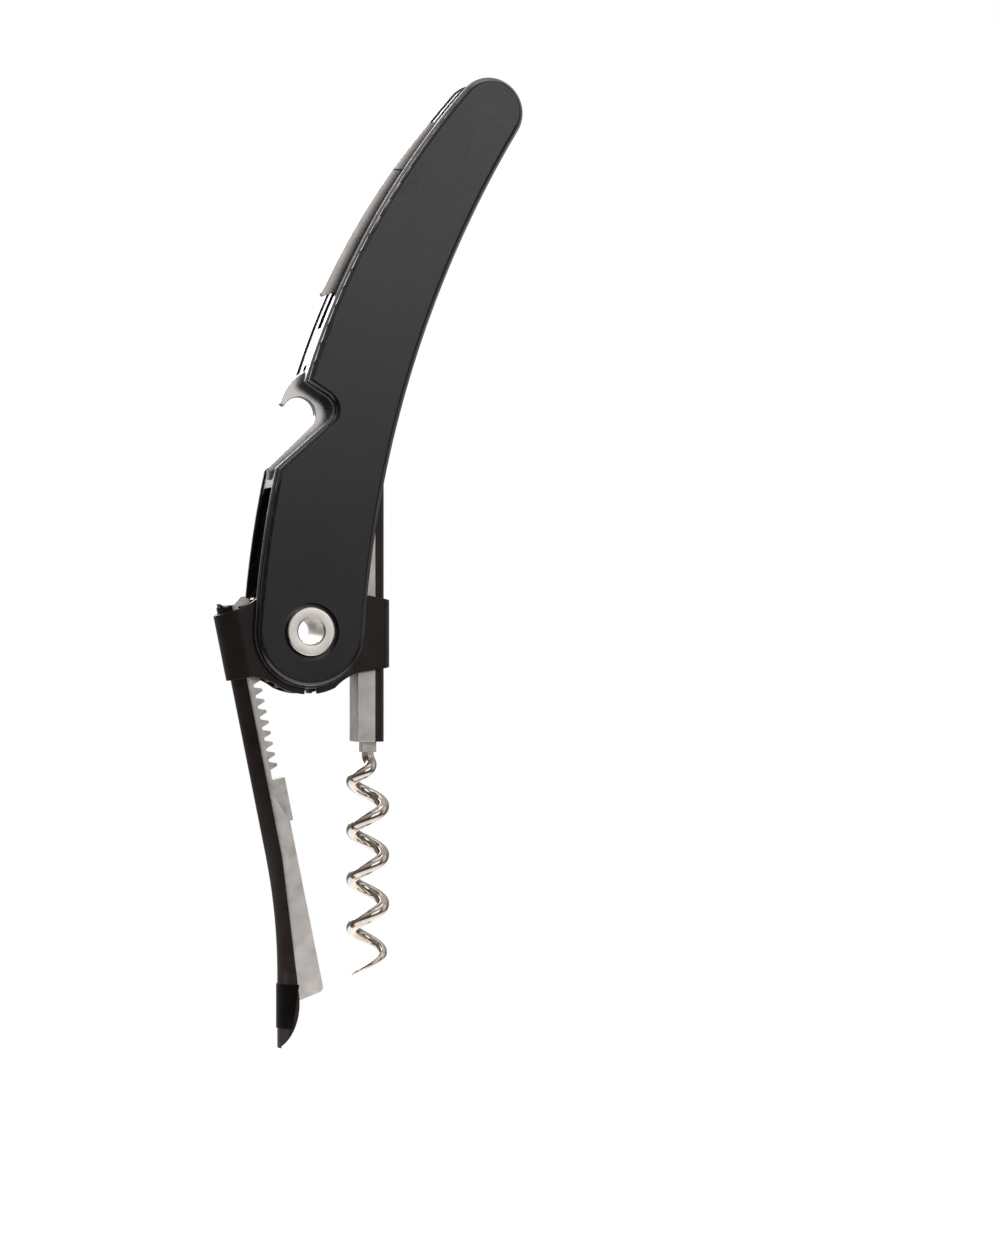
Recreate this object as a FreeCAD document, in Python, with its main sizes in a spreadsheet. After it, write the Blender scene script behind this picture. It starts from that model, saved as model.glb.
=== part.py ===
import FreeCAD, Part
import math
import os
import Sketcher

# A two-armed lever corkscrew. The origin is the pivot's axis at mid-thickness: +X points from the boot
# lever to the worm, +Y is the pivot's axis and +Z runs up the handle. Everything is in millimetres.
# Tilted pieces are drawn in the boot lever's own frame, with its z axis up the lever, and turned after.

Vector = FreeCAD.Vector
document = FreeCAD.newDocument("lever_corkscrew")
sheet = document.addObject("Spreadsheet::Sheet", "dims")
nodes = []

DIMENSIONS = {
    # The pinion on the handle and the two racks it drives.
    "tooth_module": 0.75,
    "tooth_count": 34,
    "pressure_angle": 20,
    "tooth_backlash": 0.12,
    "root_clearance": 0.19,
    "pinion_width": 3.0,
    # The hollow rivet that the handle turns on, and its running fits.
    "eyelet_bore_radius": 2.85,
    "eyelet_wall": 0.75,
    "flange_radius": 5.35,
    "flange_height": 1.55,
    "flange_bevel": 0.3,
    "press_gap": 0.01,
    "journal_wall": 1.3,
    "running_clearance": 0.05,
    "key_flat": 0.5,
    "washer_radius": 7.0,
    "washer_gap": 0.05,
    # The boot lever.
    "arm_tilt": 11.5,
    "arm_axis_setback": 1.55,
    "arm_half_width": 3.6,
    "cover_sheet": 0.5,
    "arm_sheet": 0.9,
    "arm_bend_start": 46,
    "arm_bend_radius": 133.6,
    "arm_tail": 15.8,
    "arm_flange_reach": 0.1,
    "boot_reach": 2.5,
    "boot_step_top": 33.2,
    "boot_step_bottom": 39.7,
    "boot_corner": 1.2,
    "foot_depth": 77.2,
    "foot_slope": 0.15,
    "foot_back": 3.0,
    "foot_sheet": 1.2,
    "cover_setback": 0.9,
    "cover_bend": 47,
    "cover_tip_setback": 3.25,
    "nose_inset": 0.5,
    "nose_rise": 0.3,
    "nose_radius": 14,
    "rack_top_rise": 0.15,
    "rack_length": 39,
    "rack_end_height": 1.2,
    "rack_end_depth": 0.7,
    "rack_end_slope": 1.0,
    "rack_end_gap": 0.334,
    "rack_block_length": 9.5,
    "rack_back_gap": 0.15,
    "rack_block_rise": 1.1,
    "stop_width": 3.2,
    "stop_depth": 1.0,
    "stop_height": 0.8,
    "clip_sheet": 0.25,
    "clip_length": 9.6,
    "clip_drop": 1.9,
    "clip_overlap": 0.3,
    "clip_lean": 1.5,
    # The worm's shaft and the worm.
    "worm_axis_setback": 1.75,
    "shaft_half_width": 3.6,
    "shaft_front_reach": 3.2,
    "shaft_back_reach": 3.0,
    "shaft_corner": 1.5,
    "shaft_sheet": 0.9,
    "shaft_cover_sheet": 0.5,
    "shaft_cover_depth": 2.2,
    "shaft_top": 33,
    "shaft_bottom": 24.05,
    "shaft_rack_gap": 0.8,
    "shaft_block_top": 8.6,
    "worm_coil_radius": 3.4,
    "worm_wire_radius": 1.3,
    "worm_pitch": 10.7,
    "worm_lead": 5.4,
    "worm_turns": 4.6,
    "worm_taper_turns": 0.9,
    "worm_point_radius": 0.12,
    "worm_neck": 3.0,
    "worm_tang_width": 3.2,
    "worm_tang_height": 2.3,
    "worm_shank_above": 5.0,
    "worm_pin_radius": 0.8,
    # The sliding bracket.
    "bracket_sheet": 0.9,
    "bracket_gap": 0.15,
    "bracket_left_rise": 7.9,
    "bracket_left_slope": 1.3,
    "bracket_left_drop": 7.05,
    "bracket_top_radius": 13.3,
    "bracket_top_half_span": 9.5,
    "bracket_hollow_radius": 12,
    "bracket_right_rise": 8.0,
    "bracket_right_slope": 1.7,
    "bracket_right_drop": 9.0,
    "bracket_rim": 0.1,
    "bracket_bottom_half_span": 6.0,
    "bracket_notch_width": 2.7,
    "bracket_notch_height": 1.3,
    "bracket_notch_shift": 0.5,
    "bracket_corner": 1.9,
    # The handle's outline: a round end on the pivot, a notch in the spine, and a curved grip.
    "side_gap": 0.2,
    "core_sheet": 0.8,
    "core_rim": 0.5,
    "web_setback": 0.35,
    "core_web": 0.9,
    "channel_opening": 6,
    "scale_thickness": 1.5,
    "scale_round": 1.0,
    "scale_hole_radius": 6.2,
    "round_radius": 11.75,
    "lower_spine_radius": 240,
    "notch_foot_x": -7.0,
    "notch_foot_z": 35.0,
    "notch_x": 1.9,
    "notch_z": 47.9,
    "notch_radius": 3.75,
    "notch_heel_x": -0.6,
    "notch_heel_z": 54.0,
    "spine_radius": 182,
    "tip_x": 40.9,
    "tip_z": 114.4,
    "tip_radius": 7.0,
    "belly_radius": 245,
    "spine_slot_top": 31.2,
    "spine_slot_corner": 1.6,
    "spine_slot_wide_top": 15,
    "spine_slot_lip": 0.7,
    "knife_slot_bottom": 66,
    "knife_slot_width": 3.4,
    "knife_slot_reach": 3.2,
    # The cap lifter in the notch.
    "lifter_width": 2.4,
    "claw_x": -1.3,
    "claw_z": 47.3,
    "claw_radius": 3.7,
    "claw_tip_width": 0.9,
    "claw_back_radius": 9.5,
    "lifter_foot_drop": 2.0,
    "lifter_inset": 9.3,
    "lifter_pin_radius": 1.2,
    # The foil knife, its pivot and its spring.
    "knife_pivot_in": 6.9,
    "knife_pivot_down": 5.4,
    "knife_pin_radius": 1.5,
    "blade_width": 1.2,
    "tang_width": 2.4,
    "tang_radius": 4.2,
    "blade_depth": 8.2,
    "blade_spine_radius": 170,
    "blade_tip_in": 30.3,
    "blade_tip_down": 35.2,
    "blade_tip_chamfer": 1.9,
    "shoulder_in": 5.9,
    "shoulder_up": 2.9,
    "tang_heel_in": 1.0,
    "tang_heel_down": 4.0,
    "tang_step_in": 13.8,
    "tang_step_down": 7.5,
    "bush_radius": 3.2,
    "spring_width": 2.6,
    "spring_gap": 0.15,
    "spring_thickness": 1.4,
    "spring_radius": 212,
    "spring_contact_angle": 35,
    "spring_pin_radius": 1.0,
}

for row, (alias, value) in enumerate(DIMENSIONS.items(), start=1):
    sheet.set(f"A{row}", alias)
    sheet.set(f"B{row}", str(value))
    sheet.setAlias(f"B{row}", alias)
document.recompute()

# ---------------------------------------------------------------------------- derived lengths
PITCH_RADIUS = "(dims.tooth_module * dims.tooth_count / 2)"
TIP_RADIUS = f"({PITCH_RADIUS} + dims.tooth_module)"
ROOT_RADIUS = f"({PITCH_RADIUS} - dims.tooth_module - dims.root_clearance)"
BASE_RADIUS = f"({PITCH_RADIUS} * cos(dims.pressure_angle))"
TOOTH_PITCH = "(dims.tooth_module * pi)"

# The rack's hook clears the pinion's tip circle by a gap, and the lever's top edge follows the hook.
RACK_BLOCK = f"(-{PITCH_RADIUS} + dims.tooth_module + dims.rack_block_rise)"
RACK_TOP = f"(sqrt({TIP_RADIUS}^2 - {RACK_BLOCK}^2) + dims.rack_end_gap + dims.rack_end_depth)"
ARM_TOP = f"({RACK_TOP} - dims.rack_top_rise)"

ARM_AXIS = f"(-{PITCH_RADIUS} - dims.arm_axis_setback)"
# The bracket's plates are parallel, so the wider of the two bars sets the width of both.
BAR_HALF = "max(dims.arm_half_width; dims.shaft_half_width)"
ARM_CHANNEL_HALF = f"({BAR_HALF} - dims.cover_sheet)"
ARM_INSIDE_HALF = f"({ARM_CHANNEL_HALF} - dims.arm_sheet)"
ARM_BEND_X = f"({ARM_AXIS} - dims.arm_bend_radius * (1 - cos(dims.arm_tilt)))"
ARM_BEND_Z = "(-dims.arm_bend_start - dims.arm_bend_radius * sin(dims.arm_tilt))"
ARM_END_X = f"({ARM_BEND_X} - dims.arm_tail * sin(dims.arm_tilt))"
ARM_END_Z = f"({ARM_BEND_Z} - dims.arm_tail * cos(dims.arm_tilt))"
TAIL_X = f"({ARM_BEND_X} * cos(dims.arm_tilt) - {ARM_BEND_Z} * sin(dims.arm_tilt))"
TAIL_Z = f"({ARM_BEND_X} * sin(dims.arm_tilt) + {ARM_BEND_Z} * cos(dims.arm_tilt))"

WORM_AXIS = f"({PITCH_RADIUS} + dims.worm_axis_setback)"
SHAFT_FRONT = f"({WORM_AXIS} - dims.shaft_front_reach)"
SHAFT_BACK = f"({WORM_AXIS} + dims.shaft_back_reach)"
SHAFT_COVER_EDGE = f"({SHAFT_BACK} - dims.shaft_cover_depth)"
SHAFT_NARROW_HALF = f"({BAR_HALF} - dims.shaft_cover_sheet)"

BRACKET_INSIDE = f"({BAR_HALF} + dims.bracket_gap)"
BRACKET_OUTSIDE = f"({BRACKET_INSIDE} + dims.bracket_sheet)"
CORE_INSIDE = f"({BRACKET_OUTSIDE} + dims.side_gap)"
CORE_OUTSIDE = f"({CORE_INSIDE} + dims.core_sheet)"
SCALE_OUTSIDE = f"({CORE_OUTSIDE} + dims.scale_thickness)"

EYELET_RADIUS = "(dims.eyelet_bore_radius + dims.eyelet_wall)"
HUB_BORE = f"({EYELET_RADIUS} + dims.press_gap)"
JOURNAL_RADIUS = f"({EYELET_RADIUS} + dims.journal_wall)"

KNIFE_X = "(dims.tip_x - dims.knife_pivot_in)"
KNIFE_Z = "(dims.tip_z - dims.knife_pivot_down)"
# How far cuts run past a piece, and how far a section reaches before it is cut back.
FAR = "60"
BEYOND = "10"


def number(expression):
    """Work out an expression of the sheet's values."""
    result = sheet.evalExpression(expression)
    return float(getattr(result, "Value", result))


# ---------------------------------------------------------------------------- sketch helpers
def arc_between(start, end, radius, turn, centre=None):
    """Arc from start to end, turning left (turn 1) or right (turn -1). Past a half turn it needs its centre."""
    chord = end - start
    left = Vector(-chord.y, chord.x, 0).normalize()
    if centre is None:
        depth = math.sqrt(max(radius**2 - chord.Length**2 / 4, 0))
        centre = (start + end) * 0.5 + left * depth * turn
    middle = centre - left * radius * turn
    if turn < 0:
        return Part.Arc(end, middle, start)
    return Part.Arc(start, middle, end)


def ends_of(sketch, edge, start):
    """Vertex numbers of an edge's first and last points: a right-hand arc is kept end to start."""
    geometry = sketch.Geometry[edge]
    return (1, 2) if (geometry.StartPoint - start).Length < 1e-6 else (2, 1)


def hold(sketch, kind, name, geometry, expression):
    """Add a dimension and bind it to an expression."""
    index = sketch.addConstraint(Sketcher.Constraint(kind, *geometry, number(expression)))
    sketch.renameConstraint(index, name)
    sketch.setExpression(f"Constraints.{name}", expression)


def draw(sketch, corners, smooth=(), centres=None):
    """Close corners into an outline and bind it.

    A corner is (x, y) after a line and (x, y, radius, turn) after an arc. The corners in smooth are
    only first guesses: the edges meet there in a tangent. centres fixes an arc's centre by its corner.
    """
    first = len(sketch.Geometry)
    spots = [Vector(number(corner[0]), number(corner[1]), 0) for corner in corners]
    edges = []
    for index, corner in enumerate(corners):
        start = spots[index - 1]
        if len(corner) == 2:
            sketch.addGeometry(Part.LineSegment(start, spots[index]))
        else:
            centre = None
            if centres and index in centres:
                centre = Vector(number(centres[index][0]), number(centres[index][1]), 0)
            sketch.addGeometry(arc_between(start, spots[index], number(corner[2]), corner[3], centre))
        edges.append((first + index, *ends_of(sketch, first + index, start)))
    for index, corner in enumerate(corners):
        edge, _, last = edges[index]
        following, beginning, _ = edges[(index + 1) % len(corners)]
        kind = "Tangent" if index in smooth else "Coincident"
        sketch.addConstraint(Sketcher.Constraint(kind, edge, last, following, beginning))
        if index not in smooth:
            hold(sketch, "DistanceX", f"x{edge}", (-1, 1, edge, last), corner[0])
            hold(sketch, "DistanceY", f"y{edge}", (-1, 1, edge, last), corner[1])
        if len(corner) == 4:
            hold(sketch, "Radius", f"radius{edge}", (edge,), corner[2])
        if centres and index in centres:
            hold(sketch, "DistanceX", f"centre_x{edge}", (-1, 1, edge, 3), centres[index][0])
            hold(sketch, "DistanceY", f"centre_y{edge}", (-1, 1, edge, 3), centres[index][1])


def circle(sketch, x, y, radius):
    """A bound circle."""
    edge = sketch.addGeometry(Part.Circle(Vector(number(x), number(y), 0), Vector(0, 0, 1), number(radius)))
    hold(sketch, "DistanceX", f"x{edge}", (-1, 1, edge, 3), x)
    hold(sketch, "DistanceY", f"y{edge}", (-1, 1, edge, 3), y)
    hold(sketch, "Radius", f"radius{edge}", (edge,), radius)


def rectangle(sketch, left, right, bottom, top):
    """A bound rectangle."""
    draw(sketch, [(left, bottom), (right, bottom), (right, top), (left, top)])


# ---------------------------------------------------------------------------- feature helpers
def tilt(item):
    """Turn a piece drawn in the boot lever's frame into the row's frame."""
    item.Placement = FreeCAD.Placement(Vector(), FreeCAD.Rotation(Vector(0, -1, 0), number("dims.arm_tilt")))
    item.setExpression("Placement.Rotation.Angle", "dims.arm_tilt")


def new_body(label, tilted=False):
    """A piece with a history of sketches and features."""
    body = document.addObject("PartDesign::Body", label)
    body.Label = label
    if tilted:
        tilt(body)
    nodes.append(body)
    return body


def sketch_in(body, role, offset="0"):
    """A sketch on one of the body's own planes, moved along the plane's normal."""
    sketch = body.newObject("Sketcher::SketchObject", "sketch")
    plane = [item for item in body.Origin.OriginFeatures if item.Role == role][0]
    sketch.AttachmentSupport = [(plane, "")]
    sketch.MapMode = "FlatFace"
    sketch.setExpression("AttachmentOffset.Base.z", offset)
    document.recompute()
    return sketch


def solid_feature(body, kind, sketch, length, symmetric, backward=False):
    """A pad or a pocket with a bound length."""
    feature = body.newObject(f"PartDesign::{kind}", kind.lower())
    feature.Profile = sketch
    feature.SideType = "Symmetric" if symmetric else "One side"
    feature.Reversed = backward
    feature.setExpression("Length", length)
    document.recompute()
    return feature


def pad_plate(body, half_width, corners, **options):
    """A plate in the XZ plane, half_width to each side of it."""
    sketch = sketch_in(body, "XZ_Plane")
    draw(sketch, corners, **options)
    return solid_feature(body, "Pad", sketch, f"2 * {half_width}", True)


def pocket_plate(body, corners, half_width=FAR):
    """Cut an outline in the XZ plane, half_width to each side of it."""
    sketch = sketch_in(body, "XZ_Plane")
    draw(sketch, corners)
    before = body.Shape.Volume
    feature = solid_feature(body, "Pocket", sketch, f"2 * {half_width}", True)
    if body.Shape.Volume > before - 1e-6:
        raise ValueError(f"a pocket in {body.Label} cut nothing")
    return feature


def holes(body, places, radius):
    """Round holes right through a plate, along Y."""
    sketch = sketch_in(body, "XZ_Plane")
    for x, z in places:
        circle(sketch, x, z, radius)
    return solid_feature(body, "Pocket", sketch, f"2 * {FAR}", True)


def pipe(body, kind, section, path):
    """Carry a closed section along a path."""
    feature = body.newObject(f"PartDesign::{kind}", kind.lower())
    feature.Profile = section
    feature.Spine = (path, [f"Edge{index + 1}" for index in range(len(path.Geometry))])
    document.recompute()
    return feature


def edges_on(shape, test):
    """Names of the edges whose two ends and middle pass a test."""
    names = []
    for index, edge in enumerate(shape.Edges, start=1):
        middle = edge.valueAt((edge.FirstParameter + edge.LastParameter) / 2)
        points = [middle] + [vertex.Point for vertex in edge.Vertexes]
        if all(test(point) for point in points):
            names.append(f"Edge{index}")
    return names


def dress(body, kind, feature, names, size):
    """Round or bevel named edges."""
    dressed = body.newObject(f"PartDesign::{kind}", kind.lower())
    dressed.Base = (feature, names)
    dressed.setExpression("Radius" if kind == "Fillet" else "Size", size)
    document.recompute()
    return dressed


def free_sketch(tilted=False, upright=False):
    """A sketch outside any body: level, or standing in the XZ plane."""
    sketch = document.addObject("Sketcher::SketchObject", "sketch")
    if upright:
        sketch.Placement = FreeCAD.Placement(Vector(), FreeCAD.Rotation(Vector(1, 0, 0), 90))
    if tilted:
        tilt(sketch)
    return sketch


def extrude(source, length):
    """A solid from a sketch, half its length to each side."""
    solid = document.addObject("Part::Extrusion", "extrusion")
    solid.Base = source
    solid.DirMode = "Normal"
    solid.Solid = True
    solid.Symmetric = True
    solid.setExpression("LengthFwd", length)
    return solid


def combine(kind, label, shapes, is_node=False):
    """A fusion or a common part of several solids."""
    result = document.addObject(f"Part::{kind}", label)
    result.Shapes = shapes
    if is_node:
        nodes.append(result)
    return result


def cut(label, base, tool, is_node=True):
    """A solid less another."""
    result = document.addObject("Part::Cut", label)
    result.Base = base
    result.Tool = tool
    result.Label = label
    if is_node:
        nodes.append(result)
    return result


def round_bar(label, x, z, radius, half_length, bore=None, is_node=True):
    """A cylinder along Y, centred on the mid-plane, with a bore if it has one."""
    bar = document.addObject("Part::Cylinder", f"{label}_bar")
    bar.Placement = FreeCAD.Placement(Vector(), FreeCAD.Rotation(Vector(1, 0, 0), 90))
    bar.setExpression("Placement.Base.x", x)
    bar.setExpression("Placement.Base.y", half_length)
    bar.setExpression("Placement.Base.z", z)
    bar.setExpression("Radius", radius)
    bar.setExpression("Height", f"2 * {half_length}")
    if bore is None:
        if is_node:
            bar.Label = label
            nodes.append(bar)
        return bar
    core = round_bar(f"{label}_bore", x, z, bore, f"({half_length} + 1)", is_node=False)
    return cut(label, bar, core, is_node)


# ---------------------------------------------------------------------------- the boot lever
def arm_path(body):
    """The lever's line: straight down, a long bend, and a straight tail."""
    path = sketch_in(body, "XZ_Plane")
    top = Vector(number(ARM_AXIS), number(ARM_TOP), 0)
    bend = Vector(number(ARM_AXIS), number("-dims.arm_bend_start"), 0)
    straight = Vector(number(ARM_BEND_X), number(ARM_BEND_Z), 0)
    end = Vector(number(ARM_END_X), number(ARM_END_Z), 0)
    path.addGeometry(Part.LineSegment(top, bend))
    path.addGeometry(arc_between(bend, straight, number("dims.arm_bend_radius"), -1))
    path.addGeometry(Part.LineSegment(straight, end))
    beginning, last = ends_of(path, 1, bend)
    path.addConstraint(Sketcher.Constraint("Coincident", 0, 2, 1, beginning))
    path.addConstraint(Sketcher.Constraint("Coincident", 1, last, 2, 1))
    ends = [(0, 1, ARM_AXIS, ARM_TOP), (0, 2, ARM_AXIS, "-dims.arm_bend_start")]
    ends += [(2, 1, ARM_BEND_X, ARM_BEND_Z), (2, 2, ARM_END_X, ARM_END_Z)]
    for edge, vertex, x, z in ends:
        hold(path, "DistanceX", f"x{edge}{vertex}", (-1, 1, edge, vertex), x)
        hold(path, "DistanceY", f"z{edge}{vertex}", (-1, 1, edge, vertex), z)
    hold(path, "Radius", "bend", (1,), "dims.arm_bend_radius")
    document.recompute()
    return path


def half_round_section(sketch, axis, half_width, reach):
    """A closed section whose left end is a half circle."""
    right = f"({axis} + {reach})"
    corners = [(right, f"-{half_width}"), (right, half_width), (axis, half_width)]
    corners.append((axis, f"-{half_width}", f"{half_width} * 1.000001", 1))
    draw(sketch, corners)


def arm_tube(body, half_width, inside_half):
    """A channel with a half-round back, open to the right, carried down the lever."""
    outer = sketch_in(body, "XY_Plane", ARM_TOP)
    half_round_section(outer, ARM_AXIS, half_width, BEYOND)
    pipe(body, "AdditivePipe", outer, arm_path(body))
    inner = sketch_in(body, "XY_Plane", ARM_TOP)
    half_round_section(inner, ARM_AXIS, inside_half, f"(2 * {BEYOND})")
    return pipe(body, "SubtractivePipe", inner, arm_path(body))


def make_arm_channel():
    """The silver sheet channel of the boot lever, with the boot's foot folded across its end."""
    body = new_body("arm_channel", tilted=True)
    arm_tube(body, ARM_CHANNEL_HALF, ARM_INSIDE_HALF)
    edge = f"({ARM_AXIS} + dims.arm_flange_reach)"
    boot = f"({ARM_AXIS} + dims.boot_reach)"
    heel = f"({ARM_AXIS} - {BEYOND})"
    heel_z = f"(-dims.foot_depth - dims.foot_slope * (dims.boot_reach + {BEYOND}))"
    below = f"(-dims.foot_depth - {FAR})"
    pocket_plate(body, [(edge, FAR), (edge, "-dims.boot_step_top"), (boot, "-dims.boot_step_bottom"),
                        (boot, "-dims.foot_depth"), (heel, heel_z), (heel, below), (FAR, below), (FAR, FAR)])
    foot_back = f"({ARM_AXIS} - dims.foot_back)"
    foot_z = "(-dims.foot_depth - dims.foot_slope * (dims.boot_reach + dims.foot_back))"
    pad_plate(body, ARM_CHANNEL_HALF, [(boot, "-dims.foot_depth"), (foot_back, foot_z),
                                       (foot_back, f"({foot_z} + dims.foot_sheet)"),
                                       (boot, "(-dims.foot_depth + dims.foot_sheet)")])
    reach = number(boot)
    low = number("-dims.foot_depth")
    names = edges_on(body.Tip.Shape, lambda point: abs(point.x - reach) < 1e-4 and abs(point.z - low) < 1e-4)
    dress(body, "Fillet", body.Tip, names, "dims.boot_corner")


def make_arm_rack():
    """The rack plate between the channel's flanges: a toothed bar with a hook on top and a solid block below."""
    body = new_body("arm_rack", tilted=True)
    root = f"(-{PITCH_RADIUS} - dims.tooth_module - dims.root_clearance)"
    back = f"({ARM_AXIS} - {ARM_INSIDE_HALF} + dims.rack_back_gap)"
    top = RACK_TOP
    block_top = f"({top} - dims.rack_length)"
    block = RACK_BLOCK
    block_end = f"({block_top} - dims.rack_block_length)"
    bar = pad_plate(body, ARM_INSIDE_HALF, [(back, block_end), (block, block_end), (block, block_top),
                                            (root, block_top), (root, top), (back, top)])
    spot = number(back)
    names = edges_on(bar.Shape, lambda point: abs(point.x - spot) < 1e-4 and abs(point.y) > 1)
    dress(body, "Fillet", bar, names, f"({ARM_INSIDE_HALF} - 0.1)")
    hook_foot = f"({root} - dims.rack_end_depth)"
    crest = f"({top} + dims.rack_end_height)"
    pad_plate(body, ARM_INSIDE_HALF, [(hook_foot, top), (f"({block} - 2 * dims.rack_end_slope)", crest),
                                      (f"({block} - dims.rack_end_slope)", crest),
                                      (block, f"({crest} - dims.rack_end_slope)"),
                                      (block, f"({top} - dims.rack_end_depth)"),
                                      (hook_foot, f"({top} - dims.rack_end_depth)")])
    # The space that meets the pinion's nearest tooth lies this far up the lever.
    step = "(360 / dims.tooth_count)"
    turn = "(180 + dims.arm_tilt)"
    phase = f"(({turn} - round({turn} / {step}) * {step}) * pi / 180 * {PITCH_RADIUS})"
    teeth = int(number(f"({top} - {block_top}) / {TOOTH_PITCH}")) - 1
    above = int(number(f"({top} - {phase}) / {TOOTH_PITCH} - 0.5"))
    rack_teeth(body, -1, f"({phase} + ({above} - 0.5) * {TOOTH_PITCH})", ARM_INSIDE_HALF, teeth)


def rack_teeth(body, side, first, half_width, count):
    """A row of straight-sided teeth facing the pinion, from the first one down."""
    pitch_line = f"({side} * {PITCH_RADIUS})"
    top = f"({pitch_line} - {side} * dims.tooth_module)"
    root = f"({pitch_line} + {side} * (dims.tooth_module + dims.root_clearance))"
    sunk = f"({root} + {side} * 0.2)"
    half = f"({TOOTH_PITCH} / 4 - dims.tooth_backlash / 4)"
    slope = "tan(dims.pressure_angle)"
    tip_half = f"({half} - dims.tooth_module * {slope})"
    root_half = f"({half} + (dims.tooth_module + dims.root_clearance) * {slope})"
    corners = [(sunk, f"({first} + {root_half})"), (root, f"({first} + {root_half})"),
               (top, f"({first} + {tip_half})"), (top, f"({first} - {tip_half})"),
               (root, f"({first} - {root_half})"), (sunk, f"({first} - {root_half})")]
    if side < 0:
        corners.reverse()
    tooth = pad_plate(body, half_width, corners)
    row = body.newObject("PartDesign::LinearPattern", "tooth_row")
    row.Originals = [tooth]
    row.Direction = (tooth.Profile[0], ["V_Axis"])
    row.Reversed = True
    row.Occurrences = count
    row.setExpression("Length", f"{count - 1} * {TOOTH_PITCH}")
    body.Tip = row
    document.recompute()


def make_arm_cover():
    """The black half-round cover over the channel's back, running on past the foot to a pointed nose."""
    body = new_body("arm_cover", tilted=True)
    inside = f"({ARM_CHANNEL_HALF} + dims.press_gap)"
    arm_tube(body, BAR_HALF, inside)
    edge = f"({ARM_AXIS} - dims.cover_setback)"
    tip_edge = f"({ARM_AXIS} - dims.cover_tip_setback)"
    nose_x = f"({ARM_END_X} - {BAR_HALF} * cos(dims.arm_tilt) + dims.nose_inset)"
    nose_z = f"({ARM_END_Z} + {BAR_HALF} * sin(dims.arm_tilt) + dims.nose_rise)"
    below = f"({ARM_END_Z} - {FAR})"
    pocket_plate(body, [(edge, FAR), (edge, "-dims.cover_bend"), (tip_edge, "-dims.foot_depth"),
                        (nose_x, nose_z, "dims.nose_radius", -1), (nose_x, below), (FAR, below), (FAR, FAR)])


def make_arm_tip_clip():
    """The glossy dark plate that wraps the cover's back beside the foot."""
    body = new_body("arm_tip_clip")
    top = f"({TAIL_Z} - dims.clip_drop)"
    low = f"({top} - dims.clip_length)"
    back_radius = f"({BAR_HALF} + dims.press_gap + dims.clip_sheet)"
    outer = sketch_in(body, "XY_Plane", low)
    half_round_section(outer, TAIL_X, back_radius, BEYOND)
    solid_feature(body, "Pad", outer, "dims.clip_length", False)
    inner = sketch_in(body, "XY_Plane", low)
    half_round_section(inner, TAIL_X, f"({BAR_HALF} + dims.press_gap)", f"(2 * {BEYOND})")
    solid_feature(body, "Pocket", inner, "dims.clip_length", False, backward=True)
    pocket_plate(body, [(f"({TAIL_X} + dims.clip_overlap)", top),
                        (f"({TAIL_X} + dims.clip_overlap - dims.clip_lean)", low), (FAR, low), (FAR, top)])


def make_arm_stop():
    """The small tab on the lever's top edge that keeps the bracket from sliding off."""
    body = new_body("arm_stop", tilted=True)
    back = f"({ARM_AXIS} - {ARM_CHANNEL_HALF})"
    front = f"({back} + dims.stop_depth)"
    top = f"({ARM_TOP} + dims.stop_height)"
    pad_plate(body, "(dims.stop_width / 2)", [(back, ARM_TOP), (front, ARM_TOP), (back, top)])


# ---------------------------------------------------------------------------- the worm and its shaft
def shaft_section(sketch, left, right, half_width, corner):
    """A bar's section with its two right-hand corners rounded."""
    inner = f"({right} - {corner})"
    side = f"({half_width} - {corner})"
    draw(sketch, [(left, f"-{half_width}"), (inner, f"-{half_width}"), (right, f"-{side}", corner, 1),
                  (right, side), (inner, half_width, corner, 1), (left, half_width)])


def shaft_solid(body, kind, left, right, half_width, corner, length, low="-dims.shaft_bottom"):
    """Pad or pocket a bar's section upwards."""
    sketch = sketch_in(body, "XY_Plane", low)
    shaft_section(sketch, left, right, half_width, corner)
    return solid_feature(body, kind, sketch, length, False, backward=kind == "Pocket")


def level_box(body, kind, left, right, half_width, low, length):
    """Pad or pocket a plain box upwards."""
    sketch = sketch_in(body, "XY_Plane", low)
    rectangle(sketch, left, right, f"-{half_width}", half_width)
    return solid_feature(body, kind, sketch, length, False, backward=kind == "Pocket")


def make_shaft_channel():
    """The silver channel that carries the worm, stepped in under its cover and closed at the foot."""
    body = new_body("shaft_channel")
    length = "(dims.shaft_top + dims.shaft_bottom)"
    back = f"({SHAFT_BACK} - dims.shaft_cover_sheet)"
    corner = "(dims.shaft_corner - dims.shaft_cover_sheet)"
    inside = f"({back} - dims.shaft_sheet)"
    shaft_solid(body, "Pad", SHAFT_COVER_EDGE + " - 0.5", back, SHAFT_NARROW_HALF, corner, length)
    level_box(body, "Pad", SHAFT_FRONT, SHAFT_COVER_EDGE, BAR_HALF, "-dims.shaft_bottom", length)
    level_box(body, "Pocket", f"({SHAFT_FRONT} - 1)", inside, f"({SHAFT_NARROW_HALF} - dims.shaft_sheet)",
              "-dims.shaft_bottom", length)


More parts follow.
